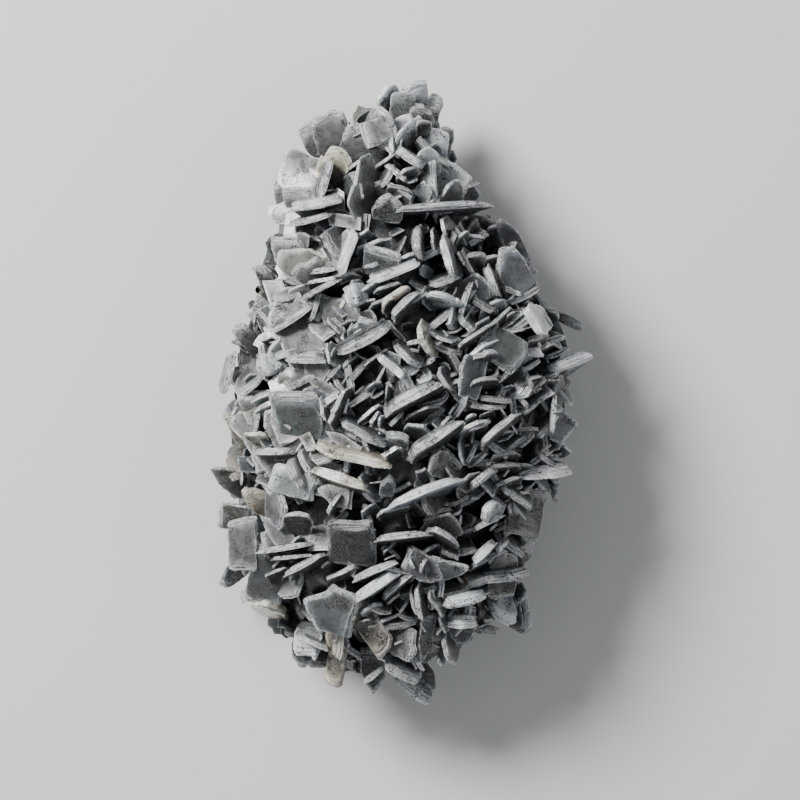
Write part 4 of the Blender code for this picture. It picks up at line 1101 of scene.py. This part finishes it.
def seeded_piece(name, count, seeding):
    """A piece of crystals spread evenly over the mound in a sunflower's order, most of them edge-on, and
    flat ones on the left."""
    rng = np.random.default_rng(SEED + seeding.seed)
    turns = np.arange(count) * math.pi * GOLDEN_TURN + rng.uniform(-TURN_STRAY, TURN_STRAY, count)
    outline = outline_radius(turns)
    reach = SEED_REACH * np.sqrt((np.arange(count) + 0.5) / count) * outline
    x, y = reach * np.cos(turns), reach * np.sin(turns)
    left = x < LEFT_EDGE
    strikes = rng.choice(STRIKES, count, p=STRIKE_SHARES)
    strikes = np.radians(strikes + rng.normal(0.0, STRIKE_SPREAD, count))
    halves = rng.uniform(*seeding.lengths, count) / 2
    flat = left & (rng.random(count) < LEFT_FLAT)
    flat_leans, steep_leans = rng.uniform(*FLAT_LEANS, count), rng.uniform(*STEEP_LEANS, count)
    leans = np.where(flat, flat_leans, steep_leans * rng.choice((-1, 1), count))
    letters = rng.choice(list(seeding.finishes), count)
    # pale on the left flank, partly their own colour and partly painted light
    letters = np.where(left & (rng.random(count) < LEFT_LIT_PALE), "P", letters)
    kept = (x > LEFT_EDGE) | (rng.random(count) < LEFT_SHARE)
    kept &= ~flat | (reach < FLAT_REACH * outline)
    thick = rng.uniform(*seeding.thicknesses, count)
    lifts = -rng.uniform(*seeding.sinks, count)
    across, up = halves * np.cos(strikes), halves * np.sin(strikes)
    breadths = seeding.breadth * 2 * halves
    rows = np.column_stack([x - across, y - up, x + across, y + up, thick, leans, breadths, lifts])
    crystals = [Crystal(*row) for row in rows[kept]]
    return grown_piece(name, crystals, letters[kept], seeding.first_number, seeding.points)


class BARITE_OT_fillers(Operator):
    """Grow middling crystals between and under the large ones"""

    bl_idname = "barite.fillers"
    bl_label = "Filler crystals"

    def execute(self, context):
        seeded_piece("crystals_filler", context.scene.barite_shape.filler_count, FILLERS)
        return {"FINISHED"}


class BARITE_OT_shards(Operator):
    """Grow small crystals in the gaps"""

    bl_idname = "barite.shards"
    bl_label = "Shards"

    def execute(self, context):
        seeded_piece("crystals_shard", context.scene.barite_shape.shard_count, SHARDS)
        return {"FINISHED"}


def mound_shape():
    """The mass that the crystals grow from, a surface of two parameters: the angle round it, and the way
    from the crest down to the girth, in to the cut's edge and to the middle of the flat cut. Sines of both
    parameters make it rough."""
    angle = np.linspace(0.0, 2.0 * np.pi, MOUND_SIDES, endpoint=False)[None, :]
    way = np.linspace(0.0, 1.0, MOUND_ROWS)[:, None]
    climb = np.clip(way / GIRTH_WAY, 0.0, 1.0)
    under = np.clip((way - GIRTH_WAY) / (CUT_WAY - GIRTH_WAY), 0.0, 1.0)
    cut = np.clip((way - CUT_WAY) / (1.0 - CUT_WAY), 0.0, 1.0)
    share = np.sin(0.5 * np.pi * climb) * (1.0 - (1.0 - CUT_INSET) * under) * (1.0 - cut)
    dome = MOUND_GIRTH + (MOUND_TOP - MOUND_GIRTH) * np.cos(0.5 * np.pi * climb)
    height = np.where(way < GIRTH_WAY, dome, MOUND_GIRTH * (1.0 - under))
    waves = sum(np.sin(k * angle + p) * np.sin(q * way * WAVE_RUN + p) for k, q, p in WAVES)
    rough = WAVE_HEIGHT * waves * (1.0 - cut) * np.sin(np.pi * np.clip(way, *WAVE_ENDS))
    reach = (outline_radius(angle) - CORE_DEPTH - MOUND_INSET) * share + rough * (share > 0)
    height = np.maximum(height + rough * (1.0 - under) * (way > 0), 0.0) * (cut == 0)
    x, y = reach * np.cos(angle), reach * np.sin(angle)
    points = np.stack(np.broadcast_arrays(x, y, height + 0.0 * angle), axis=-1).reshape(-1, 3)
    row = MOUND_SIDES * np.arange(MOUND_ROWS - 1)[:, None]
    here = row + np.arange(MOUND_SIDES)
    after = row + (np.arange(MOUND_SIDES) + 1) % MOUND_SIDES
    triangles = np.concatenate([
        np.stack([here, here + MOUND_SIDES, after + MOUND_SIDES], axis=-1).reshape(-1, 3),
        np.stack([here, after + MOUND_SIDES, after], axis=-1).reshape(-1, 3),
    ])
    look = look_colours()
    on_cut = (np.repeat(cut.ravel(), MOUND_SIDES) > 0)[:, None]
    return {
        "points": points,
        "triangles": triangles,
        # the mass is darkened as painted shade of the gaps in which it shows; the cut takes a share of the
        # pale colour
        "tint": np.where(on_cut, CUT_SHADE * look["pale"], MASS_GAP_SHADE * look["slate"]),
        "inner": points + MOUND_PATTERN,
        "rim": np.full(len(points), MOUND_RIM),
        "crust": np.full(len(points), MOUND_CRUST),
        "frost": np.zeros(len(points)),
    }


class BARITE_OT_mound(Operator):
    """Make the rough mass between the crystals, with its flat cut back"""

    bl_idname = "barite.mound"
    bl_label = "Mound"

    def execute(self, context):
        put_mesh("mound", mound_shape(), smooth=True)
        return {"FINISHED"}


def add_area_light(name, place, diameter, power, colour):
    """A round lamp that shines at the specimen."""
    data = bpy.data.lights.new(name, "AREA")
    data.shape = "DISK"
    data.size = diameter
    data.energy = power
    data.color = colour
    lamp = bpy.data.objects.new(name, data)
    lamp.location = place
    lamp.rotation_euler = (Vector(LIGHT_TARGET) - lamp.location).to_track_quat("-Z", "Y").to_euler()
    bpy.context.scene.collection.objects.link(lamp)


def lay_floor(context):
    """A large square of plain pale floor at the specimen's foot."""
    material = bpy.data.materials.new("pale_floor")
    material.use_nodes = True
    shader = material.node_tree.nodes["Principled BSDF"]
    shader.inputs["Base Color"].default_value = (*context.scene.barite_look.floor, 1.0)
    shader.inputs["Roughness"].default_value = FLOOR_ROUGHNESS
    mesh = bpy.data.meshes.new("floor")
    corners = FLOOR_REACH * np.array([(-1, -1, 0), (1, -1, 0), (1, 1, 0), (-1, 1, 0)], dtype=float)
    mesh.from_pydata(corners.tolist(), [], [(0, 1, 2, 3)])
    mesh.materials.append(material)
    floor = bpy.data.objects.new("floor", mesh)
    context.scene.collection.objects.link(floor)


def set_camera(context):
    """A camera that looks straight down, with a lens that shows VIEW_WIDTH at FOCUS_HEIGHT."""
    data = bpy.data.cameras.new("camera")
    data.sensor_width = SENSOR
    data.lens = SENSOR * (CAMERA_HEIGHT - FOCUS_HEIGHT) / VIEW_WIDTH
    data.clip_end = VIEW_END
    camera = bpy.data.objects.new("camera", data)
    camera.location = (MM * (SHIFT_X + VIEW_X), MM * (SHIFT_Y + VIEW_Y), CAMERA_HEIGHT)
    context.scene.collection.objects.link(camera)
    context.scene.camera = camera


class BARITE_OT_stage(Operator):
    """Lay the pale floor, and set the studio lights and the camera that looks down on the specimen"""

    bl_idname = "barite.stage"
    bl_label = "Stage"

    def execute(self, context):
        lay_floor(context)
        for light in LIGHTS:
            add_area_light(*light)
        world = bpy.data.worlds.new("studio")
        world.use_nodes = True
        background = world.node_tree.nodes["Background"]
        background.inputs["Color"].default_value = SKY_COLOUR
        background.inputs["Strength"].default_value = SKY_STRENGTH
        context.scene.world = world
        set_camera(context)
        return {"FINISHED"}


class BARITE_PT_panel(Panel):
    """The specimen's sizes, colours and pieces"""

    bl_label = "Barite cluster"
    bl_idname = "BARITE_PT_panel"
    bl_space_type = "VIEW_3D"
    bl_region_type = "UI"
    bl_category = "Barite"

    def draw(self, context):
        for settings in (context.scene.barite_shape, context.scene.barite_look):
            box = self.layout.box()
            for name in settings.__annotations__:
                box.prop(settings, name)
        for operator in PIECES:
            self.layout.operator(operator.bl_idname)


PIECES = (
    BARITE_OT_mound, BARITE_OT_crystals, BARITE_OT_flank, BARITE_OT_fillers, BARITE_OT_shards,
    BARITE_OT_stage,
)
CLASSES = (BariteShape, BariteLook, *PIECES, BARITE_PT_panel)


def register():
    for made in CLASSES:
        bpy.utils.register_class(made)
    bpy.types.Scene.barite_shape = PointerProperty(type=BariteShape)
    bpy.types.Scene.barite_look = PointerProperty(type=BariteLook)


def unregister():
    del bpy.types.Scene.barite_look
    del bpy.types.Scene.barite_shape
    for made in reversed(CLASSES):
        bpy.utils.unregister_class(made)


def main():
    """Builds every piece and the stage."""
    register()
    bpy.ops.barite.mound()
    bpy.ops.barite.crystals()
    bpy.ops.barite.flank()
    bpy.ops.barite.fillers()
    bpy.ops.barite.shards()
    bpy.ops.barite.stage()


if __name__ == "__main__":
    main()
